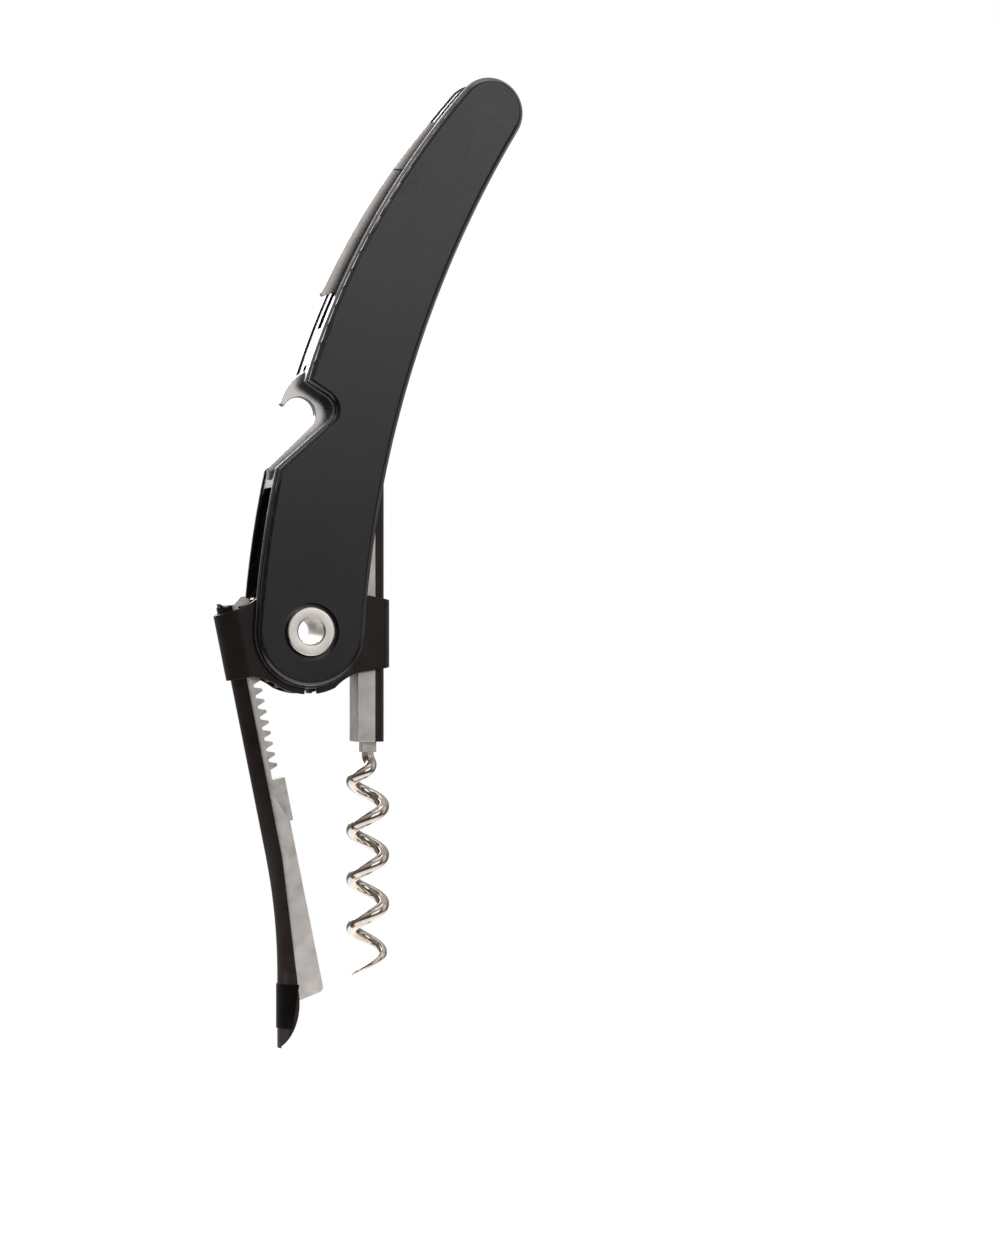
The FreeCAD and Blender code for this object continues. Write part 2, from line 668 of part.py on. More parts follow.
def make_shaft_rack():
    """The rack in the worm's channel, with the solid foot that the worm is set in."""
    body = new_body("shaft_rack")
    root = f"({PITCH_RADIUS} + dims.tooth_module + dims.root_clearance)"
    back = f"({SHAFT_BACK} - dims.shaft_cover_sheet - dims.shaft_sheet)"
    top = "(dims.shaft_top - dims.shaft_rack_gap)"
    half_width = f"({SHAFT_NARROW_HALF} - dims.shaft_sheet)"
    pad_plate(body, half_width, [(SHAFT_FRONT, "-dims.shaft_bottom"), (back, "-dims.shaft_bottom"),
                                 (back, top), (root, top), (root, "-dims.shaft_block_top"),
                                 (SHAFT_FRONT, "-dims.shaft_block_top")])
    above = int(number(f"{top} / {TOOTH_PITCH} - 0.5"))
    below = int(number(f"dims.shaft_block_top / {TOOTH_PITCH} - 0.4"))
    rack_teeth(body, 1, f"(({above} - 0.5) * {TOOTH_PITCH})", half_width, above + below)
    socket = sketch_in(body, "XY_Plane", "-dims.shaft_bottom")
    circle(socket, WORM_AXIS, "0", "(dims.worm_wire_radius + dims.press_gap)")
    solid_feature(body, "Pocket", socket, "dims.worm_shank_above", False, backward=True)
    holes(body, [(WORM_AXIS, "(-dims.shaft_bottom + dims.worm_shank_above / 2)")],
          "(dims.worm_pin_radius + dims.press_gap)")


def make_shaft_cover():
    """The black cover strip set flush over the back of the worm's channel."""
    body = new_body("shaft_cover")
    length = "(dims.shaft_top + dims.shaft_bottom)"
    corner = "(dims.shaft_corner - dims.shaft_cover_sheet)"
    inside = f"({SHAFT_BACK} - dims.shaft_cover_sheet)"
    shaft_solid(body, "Pad", SHAFT_COVER_EDGE, SHAFT_BACK, BAR_HALF, "dims.shaft_corner", length)
    shaft_solid(body, "Pocket", f"({SHAFT_COVER_EDGE} - 1)", inside, SHAFT_NARROW_HALF, corner, length)


def worm_point(turn, centre, start, lead, pitch, coil):
    """A point of the worm's centre line: it winds out from the axis, then runs at an even pitch."""
    drop = turn * pitch
    grow = min(drop / lead, 1)
    radius = coil * grow * grow * (3 - 2 * grow)
    angle = -2 * math.pi * turn
    return Vector(centre + radius * math.cos(angle), radius * math.sin(angle), start - drop)


def make_worm():
    """The open wire helix: a straight shank, a lead-out, even turns and a tapered point."""
    names = ["worm_lead", "worm_pitch", "worm_coil_radius", "worm_wire_radius", "worm_turns"]
    lead, pitch, coil, wire, turns = [number(f"dims.{name}") for name in names]
    centre = number(WORM_AXIS)
    start = number("-dims.shaft_bottom - dims.worm_neck")
    taper = number("dims.worm_taper_turns")
    steps_per_turn = 16
    even_steps = round((turns - taper) * steps_per_turn)
    taper_steps = round(taper * steps_per_turn)
    points = [worm_point(step / steps_per_turn, centre, start, lead, pitch, coil)
              for step in range(even_steps + taper_steps + 1)]
    shank_top = Vector(centre, 0, number("-dims.shaft_bottom + dims.worm_shank_above"))
    line = Part.BSplineCurve()
    line.interpolate(points)
    split = line.parameter(points[even_steps])
    even = line.toShape(line.FirstParameter, split)
    tail = line.toShape(split, line.LastParameter)
    shank = Part.makeCylinder(wire, shank_top.z - start + 0.4, Vector(centre, 0, start - 0.4))

    def ring(edge, parameter, radius):
        circle_edge = Part.Circle(edge.valueAt(parameter), edge.tangentAt(parameter), radius).toShape()
        return Part.Wire(circle_edge)

    coil_body = Part.Wire(even).makePipeShell([ring(even, even.FirstParameter, wire)], True, True)
    profiles = [ring(tail, tail.FirstParameter, wire),
                ring(tail, tail.LastParameter, number("dims.worm_point_radius"))]
    point_body = Part.Wire(tail).makePipeShell(profiles, True, True)
    knuckle = Part.makeSphere(wire, Vector(centre, 0, start))
    tang_width = number("dims.worm_tang_width")
    tang_height = number("dims.worm_tang_height")
    tang_foot = Vector(centre - tang_width / 2, -wire, number("-dims.shaft_bottom") - tang_height)
    tang = Part.makeBox(tang_width, 2 * wire, tang_height, tang_foot)
    shape = shank.fuse([coil_body, point_body, knuckle, tang]).removeSplitter()
    pin_hole = Part.makeCylinder(number("dims.worm_pin_radius + dims.press_gap"), 20,
                                 Vector(centre, -10, number("-dims.shaft_bottom + dims.worm_shank_above / 2")),
                                 Vector(0, 1, 0))
    worm = document.addObject("Part::Feature", "worm")
    worm.Label = "worm"
    worm.Shape = shape.cut(pin_hole)
    worm.Placement = FreeCAD.Placement()
    nodes.append(worm)


def make_worm_pin():
    """The cross pin that holds the worm's shank in the rack's foot."""
    round_bar("worm_pin", WORM_AXIS, "(-dims.shaft_bottom + dims.worm_shank_above / 2)",
              "dims.worm_pin_radius", f"({SHAFT_NARROW_HALF} - dims.shaft_sheet)")


# ---------------------------------------------------------------------------- the sliding bracket
def make_bracket():
    """The black folded bracket: two side plates joined by a sleeve round each bar."""
    def plan(gap):
        left = free_sketch(tilted=True)
        half_round_section(left, f"({ARM_AXIS} + 0.1)", gap, FAR)
        right = free_sketch()
        back = f"({SHAFT_BACK} + {gap} - {BAR_HALF})"
        corner = f"({gap} - {BAR_HALF} + dims.bracket_corner - dims.bracket_gap - dims.bracket_sheet)"
        shaft_section(right, "-50", back, gap, corner)
        return combine("MultiCommon", "bracket_plan", [extrude(left, "100"), extrude(right, "100")])

    rise = "dims.bracket_left_rise"
    low = "(-dims.bracket_left_drop)"
    away = "(-24)"
    near = f"({ARM_AXIS} + 0.2)"

    def turned(x, z):
        return (f"({x} * cos(dims.arm_tilt) - {z} * sin(dims.arm_tilt))",
                f"({x} * sin(dims.arm_tilt) + {z} * cos(dims.arm_tilt))")

    top_radius = "dims.bracket_top_radius"
    span = "dims.bracket_top_half_span"
    crown = f"sqrt({top_radius}^2 - {span}^2)"
    rim = f"({TIP_RADIUS} + dims.bracket_rim)"
    foot_span = "dims.bracket_bottom_half_span"
    foot = f"(-sqrt({rim}^2 - {foot_span}^2))"
    side = f"({SHAFT_BACK} + 4)"
    knee = f"({WORM_AXIS} - 1.5)"
    hollow = "dims.bracket_hollow_radius"
    outline = free_sketch(upright=True)
    draw(outline, [turned(away, f"({rise} - dims.bracket_left_slope)"), turned(near, rise), (f"(-{span})", crown, hollow, 1),
                   (span, crown, top_radius, -1), (knee, "dims.bracket_right_rise"),
                   (side, "(dims.bracket_right_rise - dims.bracket_right_slope)"),
                   (side, "(dims.bracket_right_slope - dims.bracket_right_drop)"),
                   (f"({knee} - 2)", "(-dims.bracket_right_drop)"), (foot_span, foot, hollow, 1),
                   (f"(-{foot_span})", foot, rim, -1), (*turned(near, low), hollow, 1),
                   turned(away, low)])
    outer = combine("MultiCommon", "bracket_blank", [extrude(outline, "100"), plan(BRACKET_OUTSIDE)])
    journal = round_bar("journal_hole", "0", "0", f"({JOURNAL_RADIUS} + dims.running_clearance)", "20",
                        is_node=False)
    notch = document.addObject("Part::Box", "notch")
    notch.setExpression("Length", "dims.bracket_notch_width")
    notch.setExpression("Width", "40")
    notch.setExpression("Height", "dims.bracket_notch_height + 5")
    notch.setExpression("Placement.Base.x", "dims.bracket_notch_shift - dims.bracket_notch_width / 2")
    notch.setExpression("Placement.Base.y", "-20")
    notch.setExpression("Placement.Base.z", f"-{rim} - 5")
    tools = combine("MultiFuse", "bracket_tools", [plan(BRACKET_INSIDE), journal, notch])
    cut("carriage_bracket", outer, tools)


def make_washers():
    """The two thrust washers that keep the pinion centred between the bracket's plates."""
    inner = "(dims.pinion_width / 2 + dims.washer_gap)"
    outer = f"({BRACKET_INSIDE} - dims.washer_gap)"
    for label, near, far in [("front_washer", f"(-{outer})", f"(-{inner})"), ("back_washer", inner, outer)]:
        body = new_body(label)
        sketch = sketch_in(body, "XZ_Plane", f"(-{near})")
        circle(sketch, "0", "0", "dims.washer_radius")
        circle(sketch, "0", "0", f"({JOURNAL_RADIUS} + dims.running_clearance)")
        solid_feature(body, "Pad", sketch, f"({far} - {near})", False, backward=True)


# ---------------------------------------------------------------------------- the handle
def centre_at(first, first_distance, second, second_distance, side):
    """The point at two distances from two points, left (side 1) or right (side -1) of the way between."""
    way = second - first
    along = (first_distance**2 - second_distance**2 + way.Length**2) / (2 * way.Length)
    across = math.sqrt(first_distance**2 - along**2)
    way.normalize()
    return first + way * along + Vector(-way.y, way.x, 0) * across * side


def touch(circle_centre, radius, other_centre, side):
    """Where a circle touches another, towards its centre (side 1) or away from it (side -1)."""
    spot = circle_centre + (other_centre - circle_centre).normalize() * radius * side
    return str(spot.x), str(spot.y)


def tangent_from(point, circle_centre, radius, side):
    """Where a line from a point touches a circle, turned left (side 1) or right (side -1) from the point."""
    way = point - circle_centre
    angle = math.atan2(way.y, way.x) + side * math.acos(radius / way.Length)
    return str(circle_centre.x + radius * math.cos(angle)), str(circle_centre.y + radius * math.sin(angle))


def notch_touches():
    """Where the two straight sides of the notch meet its arc."""
    notch = Vector(number("dims.notch_x"), number("dims.notch_z"), 0)
    foot = Vector(number("dims.notch_foot_x"), number("dims.notch_foot_z"), 0)
    heel = Vector(number("dims.notch_heel_x"), number("dims.notch_heel_z"), 0)
    radius = number("dims.notch_radius")
    return tangent_from(foot, notch, radius, 1), tangent_from(heel, notch, radius, -1)


def handle_touches():
    """The four tangent points of the handle's arcs: lower spine, spine, belly at the tip and at the pivot."""
    pivot = Vector()
    tip = Vector(number("dims.tip_x"), number("dims.tip_z"), 0)
    foot = Vector(number("dims.notch_foot_x"), number("dims.notch_foot_z"), 0)
    heel = Vector(number("dims.notch_heel_x"), number("dims.notch_heel_z"), 0)
    round_end, tip_end, lower, spine, belly = [
        number(f"dims.{name}") for name in
        ("round_radius", "tip_radius", "lower_spine_radius", "spine_radius", "belly_radius")]
    lower_centre = centre_at(pivot, lower - round_end, foot, lower, -1)
    spine_centre = centre_at(heel, spine, tip, spine - tip_end, -1)
    belly_centre = centre_at(pivot, belly + round_end, tip, belly + tip_end, -1)
    return (touch(pivot, round_end, lower_centre, -1), touch(tip, tip_end, spine_centre, -1),
            touch(tip, tip_end, belly_centre, 1), touch(pivot, round_end, belly_centre, 1))


def draw_handle(sketch):
    """The handle's side view, clockwise from the left of its round end."""
    round_left, tip_high, tip_low, round_right = handle_touches()
    notch_low, notch_high = notch_touches()
    draw(sketch, [
        (*round_left, "dims.round_radius", -1),
        ("dims.notch_foot_x", "dims.notch_foot_z", "dims.lower_spine_radius", -1),
        notch_low,
        (*notch_high, "dims.notch_radius", 1),
        ("dims.notch_heel_x", "dims.notch_heel_z"),
        (*tip_high, "dims.spine_radius", -1),
        (*tip_low, "dims.tip_radius", -1),
        (*round_right, "dims.belly_radius", 1)],
        smooth=(0, 2, 3, 5, 6, 7),
        centres={0: ("0", "0"), 3: ("dims.notch_x", "dims.notch_z"), 6: ("dims.tip_x", "dims.tip_z")})


def offset_face(label, outline, distance):
    """The handle's outline moved outwards by a distance."""
    face = document.addObject("Part::Offset2D", label)
    face.Source = outline
    face.setExpression("Value", distance)
    return face


def make_handle_core():
    """The core: two polished liners and, a little way in from their edges, the web along the spine."""
    outline = free_sketch(upright=True)
    draw_handle(outline)
    liner_face = offset_face("liner_outline", outline, "dims.core_rim")
    web_face = offset_face("web_outline", outline, "dims.core_rim - dims.web_setback")
    hollow_face = offset_face("web_hollow", outline, "dims.core_rim - dims.web_setback - dims.core_web")
    hollow = extrude(hollow_face, f"2 * {CORE_OUTSIDE}")
    opening = extrude(hollow_face, f"2 * {CORE_OUTSIDE}")
    opening.setExpression("Placement.Base.x", "dims.channel_opening")
    opening.setExpression("Placement.Base.z", "-dims.channel_opening / 2")
    knife_slot = slot_box("knife_slot", "-10", "(dims.tip_x + dims.knife_slot_reach)",
                          "dims.knife_slot_bottom", "200", "dims.knife_slot_width / 2")
    lifter_slot = slot_box("lifter_slot", "-20", "(dims.notch_x + 9)",
                           "(dims.notch_foot_z - dims.lifter_foot_drop - dims.press_gap)",
                           "(dims.notch_heel_z + 4)", "(dims.lifter_width / 2 + dims.press_gap)")
    web_tools = combine("MultiFuse", "web_tools", [hollow, opening, spine_slot(), knife_slot, lifter_slot])
    cut("spine_web", extrude(web_face, f"2 * {CORE_INSIDE}"), web_tools)
    bore = round_bar("core_bore", "0", "0", f"({JOURNAL_RADIUS} - dims.key_flat + 0.02)", "20", is_node=False)
    pins = [round_bar(f"core_hole_{index}", x, z, f"({radius} + dims.press_gap)", "20", is_node=False)
            for index, (x, z, radius) in enumerate(core_pins())]
    gap = slot_box("liner_gap", f"-{FAR}", f"(dims.tip_x + {FAR})", f"-{FAR}", f"(dims.tip_z + {FAR})", CORE_INSIDE)
    liners = cut("liner_pair", extrude(liner_face, f"2 * {CORE_OUTSIDE}"),
                 combine("MultiFuse", "liner_tools", [gap, bore, *pins]), is_node=False)
    for label, side in [("front_liner", "-1"), ("back_liner", "0")]:
        half = slot_box(f"{label}_half", f"-{FAR}", f"(dims.tip_x + {FAR})", f"-{FAR}", f"(dims.tip_z + {FAR})", FAR)
        half.setExpression("Width", FAR)
        half.setExpression("Placement.Base.y", f"{side} * {FAR}")
        liner = combine("MultiCommon", label, [liners, half], is_node=True)
        liner.Label = label


def spine_slot():
    """The window through the lower spine, with rounded upper corners, that the boot lever folds into."""
    sketch = document.addObject("Sketcher::SketchObject", "sketch")
    sketch.Placement = FreeCAD.Placement(Vector(), FreeCAD.Rotation(Vector(1, 1, 1), 120))
    narrow = f"({CORE_INSIDE} - dims.spine_slot_lip)"
    side = f"({narrow} - dims.spine_slot_corner)"
    shoulder = "(dims.spine_slot_top - dims.spine_slot_corner)"
    corner = "dims.spine_slot_corner"
    draw(sketch, [(f"-{CORE_INSIDE}", f"-{FAR}"), (CORE_INSIDE, f"-{FAR}"),
                  (CORE_INSIDE, "dims.spine_slot_wide_top"), (narrow, shoulder),
                  (side, "dims.spine_slot_top", corner, 1), (f"-{side}", "dims.spine_slot_top"),
                  (f"-{narrow}", shoulder, corner, 1), (f"-{CORE_INSIDE}", "dims.spine_slot_wide_top")])
    return extrude(sketch, FAR)


def slot_box(label, left, right, bottom, top, half_width):
    """A box centred on the mid-plane."""
    box = document.addObject("Part::Box", label)
    box.setExpression("Length", f"{right} - ({left})")
    box.setExpression("Width", f"2 * {half_width}")
    box.setExpression("Height", f"{top} - ({bottom})")
    box.setExpression("Placement.Base.x", left)
    box.setExpression("Placement.Base.y", f"-{half_width}")
    box.setExpression("Placement.Base.z", bottom)
    return box


LIFTER_PINS = [("(dims.notch_x + 7)", "(dims.notch_z - 1)"),
               ("(dims.notch_heel_x + 6.2)", "(dims.notch_heel_z + 2.4)")]
SPRING_PINS = [("(dims.notch_heel_x + 12)", "(dims.notch_heel_z + 9)")]


def core_pins():
    """Every cross pin's place and radius."""
    pins = [(x, z, "dims.lifter_pin_radius") for x, z in LIFTER_PINS]
    pins += [(x, z, "dims.spring_pin_radius") for x, z in SPRING_PINS]
    pins.append((KNIFE_X, KNIFE_Z, "dims.knife_pin_radius"))
    return pins


def make_scales():
    """The two black side scales, rounded along their outer edges, with a round window for the eyelet."""
    body = new_body("front_scale")
    sketch = sketch_in(body, "XZ_Plane", CORE_OUTSIDE)
    draw_handle(sketch)
    circle(sketch, "0", "0", "dims.scale_hole_radius")
    plate = solid_feature(body, "Pad", sketch, "dims.scale_thickness", False)
    outside = -number(SCALE_OUTSIDE)
    hole = number("dims.scale_hole_radius") + 0.1
    names = edges_on(plate.Shape, lambda point: abs(point.y - outside) < 1e-4
                     and math.hypot(point.x, point.z) > hole)
    dress(body, "Fillet", plate, names, "dims.scale_round")
    mirror = document.addObject("Part::Mirroring", "back_scale")
    mirror.Label = "back_scale"
    mirror.Source = body
    mirror.Normal = Vector(0, 1, 0)
    nodes.append(mirror)


def make_pinion():
    """The pinion and its two journals in one piece, with the eyelet's bore through it."""
    body = new_body("pinion")
    disc = sketch_in(body, "XZ_Plane")
    circle(disc, "0", "0", ROOT_RADIUS)
    solid_feature(body, "Pad", disc, "dims.pinion_width", True)

    def involute(radius):
        """The involute function of the pressure angle at a radius, in radians."""
        angle = f"acos({BASE_RADIUS} / {radius})"
        return f"(tan({angle}) - {angle} / 1deg * pi / 180)"

    half_turn = f"(pi / (2 * dims.tooth_count) - dims.tooth_backlash / (4 * {PITCH_RADIUS}))"
    tip_angle = f"(({half_turn} + {involute(PITCH_RADIUS)} - {involute(TIP_RADIUS)}) * 180 / pi)"
    base_angle = f"(({half_turn} + {involute(PITCH_RADIUS)}) * 180 / pi)"

    def spot(radius, angle, side):
        return f"({radius} * cos({angle}))", f"({side} * {radius} * sin({angle}))"

    flank = f"({PITCH_RADIUS} * sin(dims.pressure_angle))"
    sunk = f"({ROOT_RADIUS} - 0.2)"
    corners = [spot(sunk, base_angle, -1), spot(BASE_RADIUS, base_angle, -1),
               (*spot(TIP_RADIUS, tip_angle, -1), flank, 1), spot(TIP_RADIUS, tip_angle, 1),
               (*spot(BASE_RADIUS, base_angle, 1), flank, 1), spot(sunk, base_angle, 1)]
    tooth = pad_plate(body, "(dims.pinion_width / 2)", corners)
    ring = body.newObject("PartDesign::PolarPattern", "tooth_ring")
    ring.Originals = [tooth]
    ring.Axis = (tooth.Profile[0], ["N_Axis"])
    ring.Angle = 360
    ring.setExpression("Occurrences", "dims.tooth_count")
    body.Tip = ring
    document.recompute()
    journal = sketch_in(body, "XZ_Plane")
    circle(journal, "0", "0", JOURNAL_RADIUS)
    solid_feature(body, "Pad", journal, f"2 * {CORE_INSIDE}", True)
    key = sketch_in(body, "XZ_Plane")
    circle(key, "0", "0", f"({JOURNAL_RADIUS} - dims.key_flat)")
    solid_feature(body, "Pad", key, f"2 * {CORE_OUTSIDE}", True)
    holes(body, [("0", "0")], HUB_BORE)


def make_eyelet():
    """The hollow rivet through the whole stack, with a flat flange at each end."""
    body = new_body("pivot_eyelet")
    barrel = sketch_in(body, "XZ_Plane")
    circle(barrel, "0", "0", EYELET_RADIUS)
    solid_feature(body, "Pad", barrel, f"2 * ({CORE_OUTSIDE} + 0.5)", True)
    for side in (-1, 1):
        flange = sketch_in(body, "XZ_Plane", f"({-side} * {CORE_OUTSIDE})")
        circle(flange, "0", "0", "dims.flange_radius")
        solid_feature(body, "Pad", flange, "dims.flange_height", False, backward=side > 0)
    holes(body, [("0", "0")], "dims.eyelet_bore_radius")
    face = number(f"{CORE_OUTSIDE} + dims.flange_height")
    names = edges_on(body.Tip.Shape, lambda point: abs(abs(point.y) - face) < 1e-4)
    dress(body, "Chamfer", body.Tip, names, "dims.flange_bevel")


def make_cap_lifter():
    """The claw plate between the walls, its hook standing out of the notch."""
    body = new_body("cap_lifter")
    half = "(dims.lifter_width / 2)"

    def hook(angle, extra="0"):
        reach = f"(dims.claw_radius + {extra})"
        return f"(dims.claw_x + {reach} * cos({angle}))", f"(dims.claw_z + {reach} * sin({angle}))"

    pad_plate(body, half, [
        ("(dims.notch_foot_x - 0.9)", "(dims.notch_foot_z - dims.lifter_foot_drop)"),
        ("(dims.notch_foot_x - 1.1)", "(dims.notch_foot_z + 0.6)"),
        hook(-48),
        (*hook(0), "dims.claw_radius", 1),
        (*hook(155), "dims.claw_radius", 1),
        hook(152, "dims.claw_tip_width"),
        ("(dims.notch_heel_x - 0.9)", "(dims.notch_heel_z + 1.6)", "dims.claw_back_radius", -1),
        ("(dims.notch_heel_x + 3.6)", "(dims.notch_heel_z + 4.5)"),
        ("(dims.notch_heel_x + 8.5)", "(dims.notch_heel_z + 4.5)"),
        ("(dims.notch_x + dims.lifter_inset)", "dims.notch_z"),
        ("(dims.notch_x + dims.lifter_inset)", "(dims.notch_z - 4.5)"),
        ("(dims.notch_foot_x + 2.5)", "(dims.notch_foot_z - dims.lifter_foot_drop)")])
    holes(body, LIFTER_PINS, "(dims.lifter_pin_radius + dims.press_gap)")


def make_lifter_pins():
    """The two pins that fix the claw plate between the walls."""
    bars = [round_bar(f"lifter_pin_{index}", x, z, "dims.lifter_pin_radius", CORE_OUTSIDE, is_node=False)
            for index, (x, z) in enumerate(LIFTER_PINS)]
    pins = combine("MultiFuse", "lifter_pins", bars, is_node=True)
    pins.Label = "lifter_pins"


def make_knife():
    """The foil knife, folded into the spine: a thin blade on a thicker tang."""
    body = new_body("foil_blade")
    tip_x = f"({KNIFE_X} - dims.blade_tip_in)"
    tip_z = f"({KNIFE_Z} - dims.blade_tip_down)"
    shoulder = (f"({KNIFE_X} - dims.shoulder_in)", f"({KNIFE_Z} + dims.shoulder_up)")
    belly = (f"({KNIFE_X} + dims.tang_heel_in)", f"({KNIFE_Z} - dims.tang_heel_down)")
    pad_plate(body, "(dims.blade_width / 2)", [
        (KNIFE_X, KNIFE_Z),
        belly,
        (f"({tip_x} + dims.blade_depth - 1.2)", f"({tip_z} + 1.4)", "dims.blade_spine_radius", 1),
        (f"({tip_x} + 2.2)", f"({tip_z} - 0.1)"),
        (f"({tip_x} + 0.4)", f"({tip_z} - 0.7)"),
        (tip_x, tip_z),
        (f"({tip_x} + 1.1)", f"({tip_z} + dims.blade_tip_chamfer)"),
        (*shoulder, "dims.blade_spine_radius", -1)])
    tang = sketch_in(body, "XZ_Plane")
    circle(tang, KNIFE_X, KNIFE_Z, "dims.tang_radius")
    solid_feature(body, "Pad", tang, "dims.tang_width", True)
    pad_plate(body, "(dims.tang_width / 2)", [
        (f"({KNIFE_X} - 1.5)", f"({KNIFE_Z} + 3.9)"),
        belly,
        (f"({KNIFE_X} - 2.6)", f"({KNIFE_Z} - dims.tang_step_down)"),
        (f"({KNIFE_X} - dims.tang_step_in)", f"({KNIFE_Z} - dims.tang_step_down)"),
        (*shoulder, "dims.blade_spine_radius", -1)])
    holes(body, [(KNIFE_X, KNIFE_Z)], "(dims.knife_pin_radius + dims.running_clearance)")


def make_knife_mount():
    """The knife's pin, and the two bushes that centre it between the walls."""
    round_bar("knife_pin", KNIFE_X, KNIFE_Z, "dims.knife_pin_radius", CORE_OUTSIDE)
    near = "(dims.tang_width / 2 + dims.washer_gap)"
    for label, low, high in [("front_bush", f"(-{CORE_INSIDE})", f"(-{near})"), ("back_bush", near, CORE_INSIDE)]:
        body = new_body(label)
        sketch = sketch_in(body, "XZ_Plane", f"(-{low})")
        circle(sketch, KNIFE_X, KNIFE_Z, "dims.bush_radius")
        circle(sketch, KNIFE_X, KNIFE_Z, "(dims.knife_pin_radius + dims.press_gap)")
        solid_feature(body, "Pad", sketch, f"({high} - {low})", False, backward=True)


def make_knife_spring():
    """The leaf spring that bears on the knife's round tang."""
    body = new_body("knife_spring")
    x, z = SPRING_PINS[0]
    reach = "(dims.tang_radius + dims.spring_gap)"

    def beside(distance):
        """A point below and right of the knife's pivot, where the spring lies along the tang."""
        return (f"({KNIFE_X} + {distance} * cos(dims.spring_contact_angle))",
                f"({KNIFE_Z} - {distance} * sin(dims.spring_contact_angle))")

    pad_plate(body, "(dims.spring_width / 2)", [
        (f"({x} - 1.6)", f"({z} - 2.2)"), (f"({x} - 1.2)", f"({z} + 1.8)"),
        (*beside(reach), "dims.spring_radius", -1),
        beside(f"({reach} + dims.spring_thickness)"),
        (f"({x} + 2.2)", f"({z} - 2.2)", "dims.spring_radius", 1)])
    holes(body, SPRING_PINS, "(dims.spring_pin_radius + dims.press_gap)")
    round_bar("spring_pin", x, z, "dims.spring_pin_radius", CORE_OUTSIDE)


# ---------------------------------------------------------------------------- build, check and write
make_arm_channel()
make_arm_rack()
make_arm_cover()
make_arm_tip_clip()
make_arm_stop()
make_shaft_channel()
make_shaft_rack()
make_shaft_cover()
make_worm()
make_worm_pin()
make_bracket()
make_washers()
make_handle_core()
make_scales()
make_pinion()
make_eyelet()
make_cap_lifter()
make_lifter_pins()
make_knife()
make_knife_mount()
make_knife_spring()
document.recompute()

faults = [item.Name for item in document.Objects if {"Invalid", "Error"} & set(item.State)]
faults += [node.Label for node in nodes if node.Shape.isNull() or not node.Shape.isValid()]
if faults:
    raise ValueError(f"these did not build: {faults}")

os.makedirs("parts", exist_ok=True)
for node in nodes:
    node.Shape.exportStep(f"parts/{node.Label}.step")
    print(f"{node.Label:18s} {len(node.Shape.Solids)} solids, {node.Shape.Volume:9.2f} mm3")
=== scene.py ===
"""The looks of a two-armed lever corkscrew: finishes, finished copies of its metalwork and the studio."""
import logging
import math
from dataclasses import dataclass, field
from enum import Enum
from typing import Callable, Optional, Sequence

import bpy
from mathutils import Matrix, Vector


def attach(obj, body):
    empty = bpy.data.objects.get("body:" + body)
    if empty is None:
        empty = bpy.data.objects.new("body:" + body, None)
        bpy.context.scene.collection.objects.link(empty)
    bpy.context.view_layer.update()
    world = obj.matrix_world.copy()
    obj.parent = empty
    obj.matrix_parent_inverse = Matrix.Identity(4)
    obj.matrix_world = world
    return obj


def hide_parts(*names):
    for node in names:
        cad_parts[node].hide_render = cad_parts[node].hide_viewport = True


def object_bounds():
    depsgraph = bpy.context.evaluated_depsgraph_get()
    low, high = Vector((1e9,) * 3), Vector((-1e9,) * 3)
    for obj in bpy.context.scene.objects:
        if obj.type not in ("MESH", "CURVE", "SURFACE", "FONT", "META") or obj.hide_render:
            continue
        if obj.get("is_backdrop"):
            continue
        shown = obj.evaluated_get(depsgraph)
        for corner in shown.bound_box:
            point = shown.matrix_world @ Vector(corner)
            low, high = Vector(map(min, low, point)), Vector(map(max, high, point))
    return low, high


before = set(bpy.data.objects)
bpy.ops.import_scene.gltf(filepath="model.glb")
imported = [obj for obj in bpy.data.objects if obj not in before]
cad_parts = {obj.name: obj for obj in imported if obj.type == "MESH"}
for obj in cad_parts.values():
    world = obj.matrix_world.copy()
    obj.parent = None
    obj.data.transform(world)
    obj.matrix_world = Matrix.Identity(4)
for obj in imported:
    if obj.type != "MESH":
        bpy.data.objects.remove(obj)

LOG = logging.getLogger("lever_corkscrew")
MM = 0.001
WELD_MM = 0.002
FLAT_DEG = 0.05
SHARP_DEG = 35.0
SMOOTH_DEG = 30.0
BEVEL_STEPS = 2
RING_SIDES = 128
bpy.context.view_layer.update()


# ----------------------------------------------------------------------------------------- nodes
def linear(hex_colour: str) -> tuple[float, float, float, float]:
    """Turn an sRGB hex colour into linear light.

    Args:
        hex_colour: Six hex digits after a hash sign.

    Returns:
        Red, green, blue and an alpha of one.
    """
    channels = [int(hex_colour[start:start + 2], 16) / 255 for start in (1, 3, 5)]
    curve = [value / 12.92 if value <= 0.04045 else ((value + 0.055) / 1.055) ** 2.4 for value in channels]
    return curve[0], curve[1], curve[2], 1.0


def add_node(tree: bpy.types.NodeTree, kind: str, settings: Optional[dict] = None,
             links: Optional[dict] = None) -> bpy.types.Node:
    """Add one node with its settings and its incoming links.

    Args:
        tree: The node tree that gets the node.
        kind: The node's type name.
        settings: Input values by socket name or number, and the node's own properties by name.
        links: Output sockets by the name or number of the input that they feed.

    Returns:
        The new node.
    """
    node = tree.nodes.new(kind)
    for key, value in (settings or {}).items():
        if isinstance(key, str) and hasattr(node, key):
            setattr(node, key, value)
        else:
            node.inputs[key].default_value = value
    for key, output in (links or {}).items():
        tree.links.new(output, node.inputs[key])
    return node


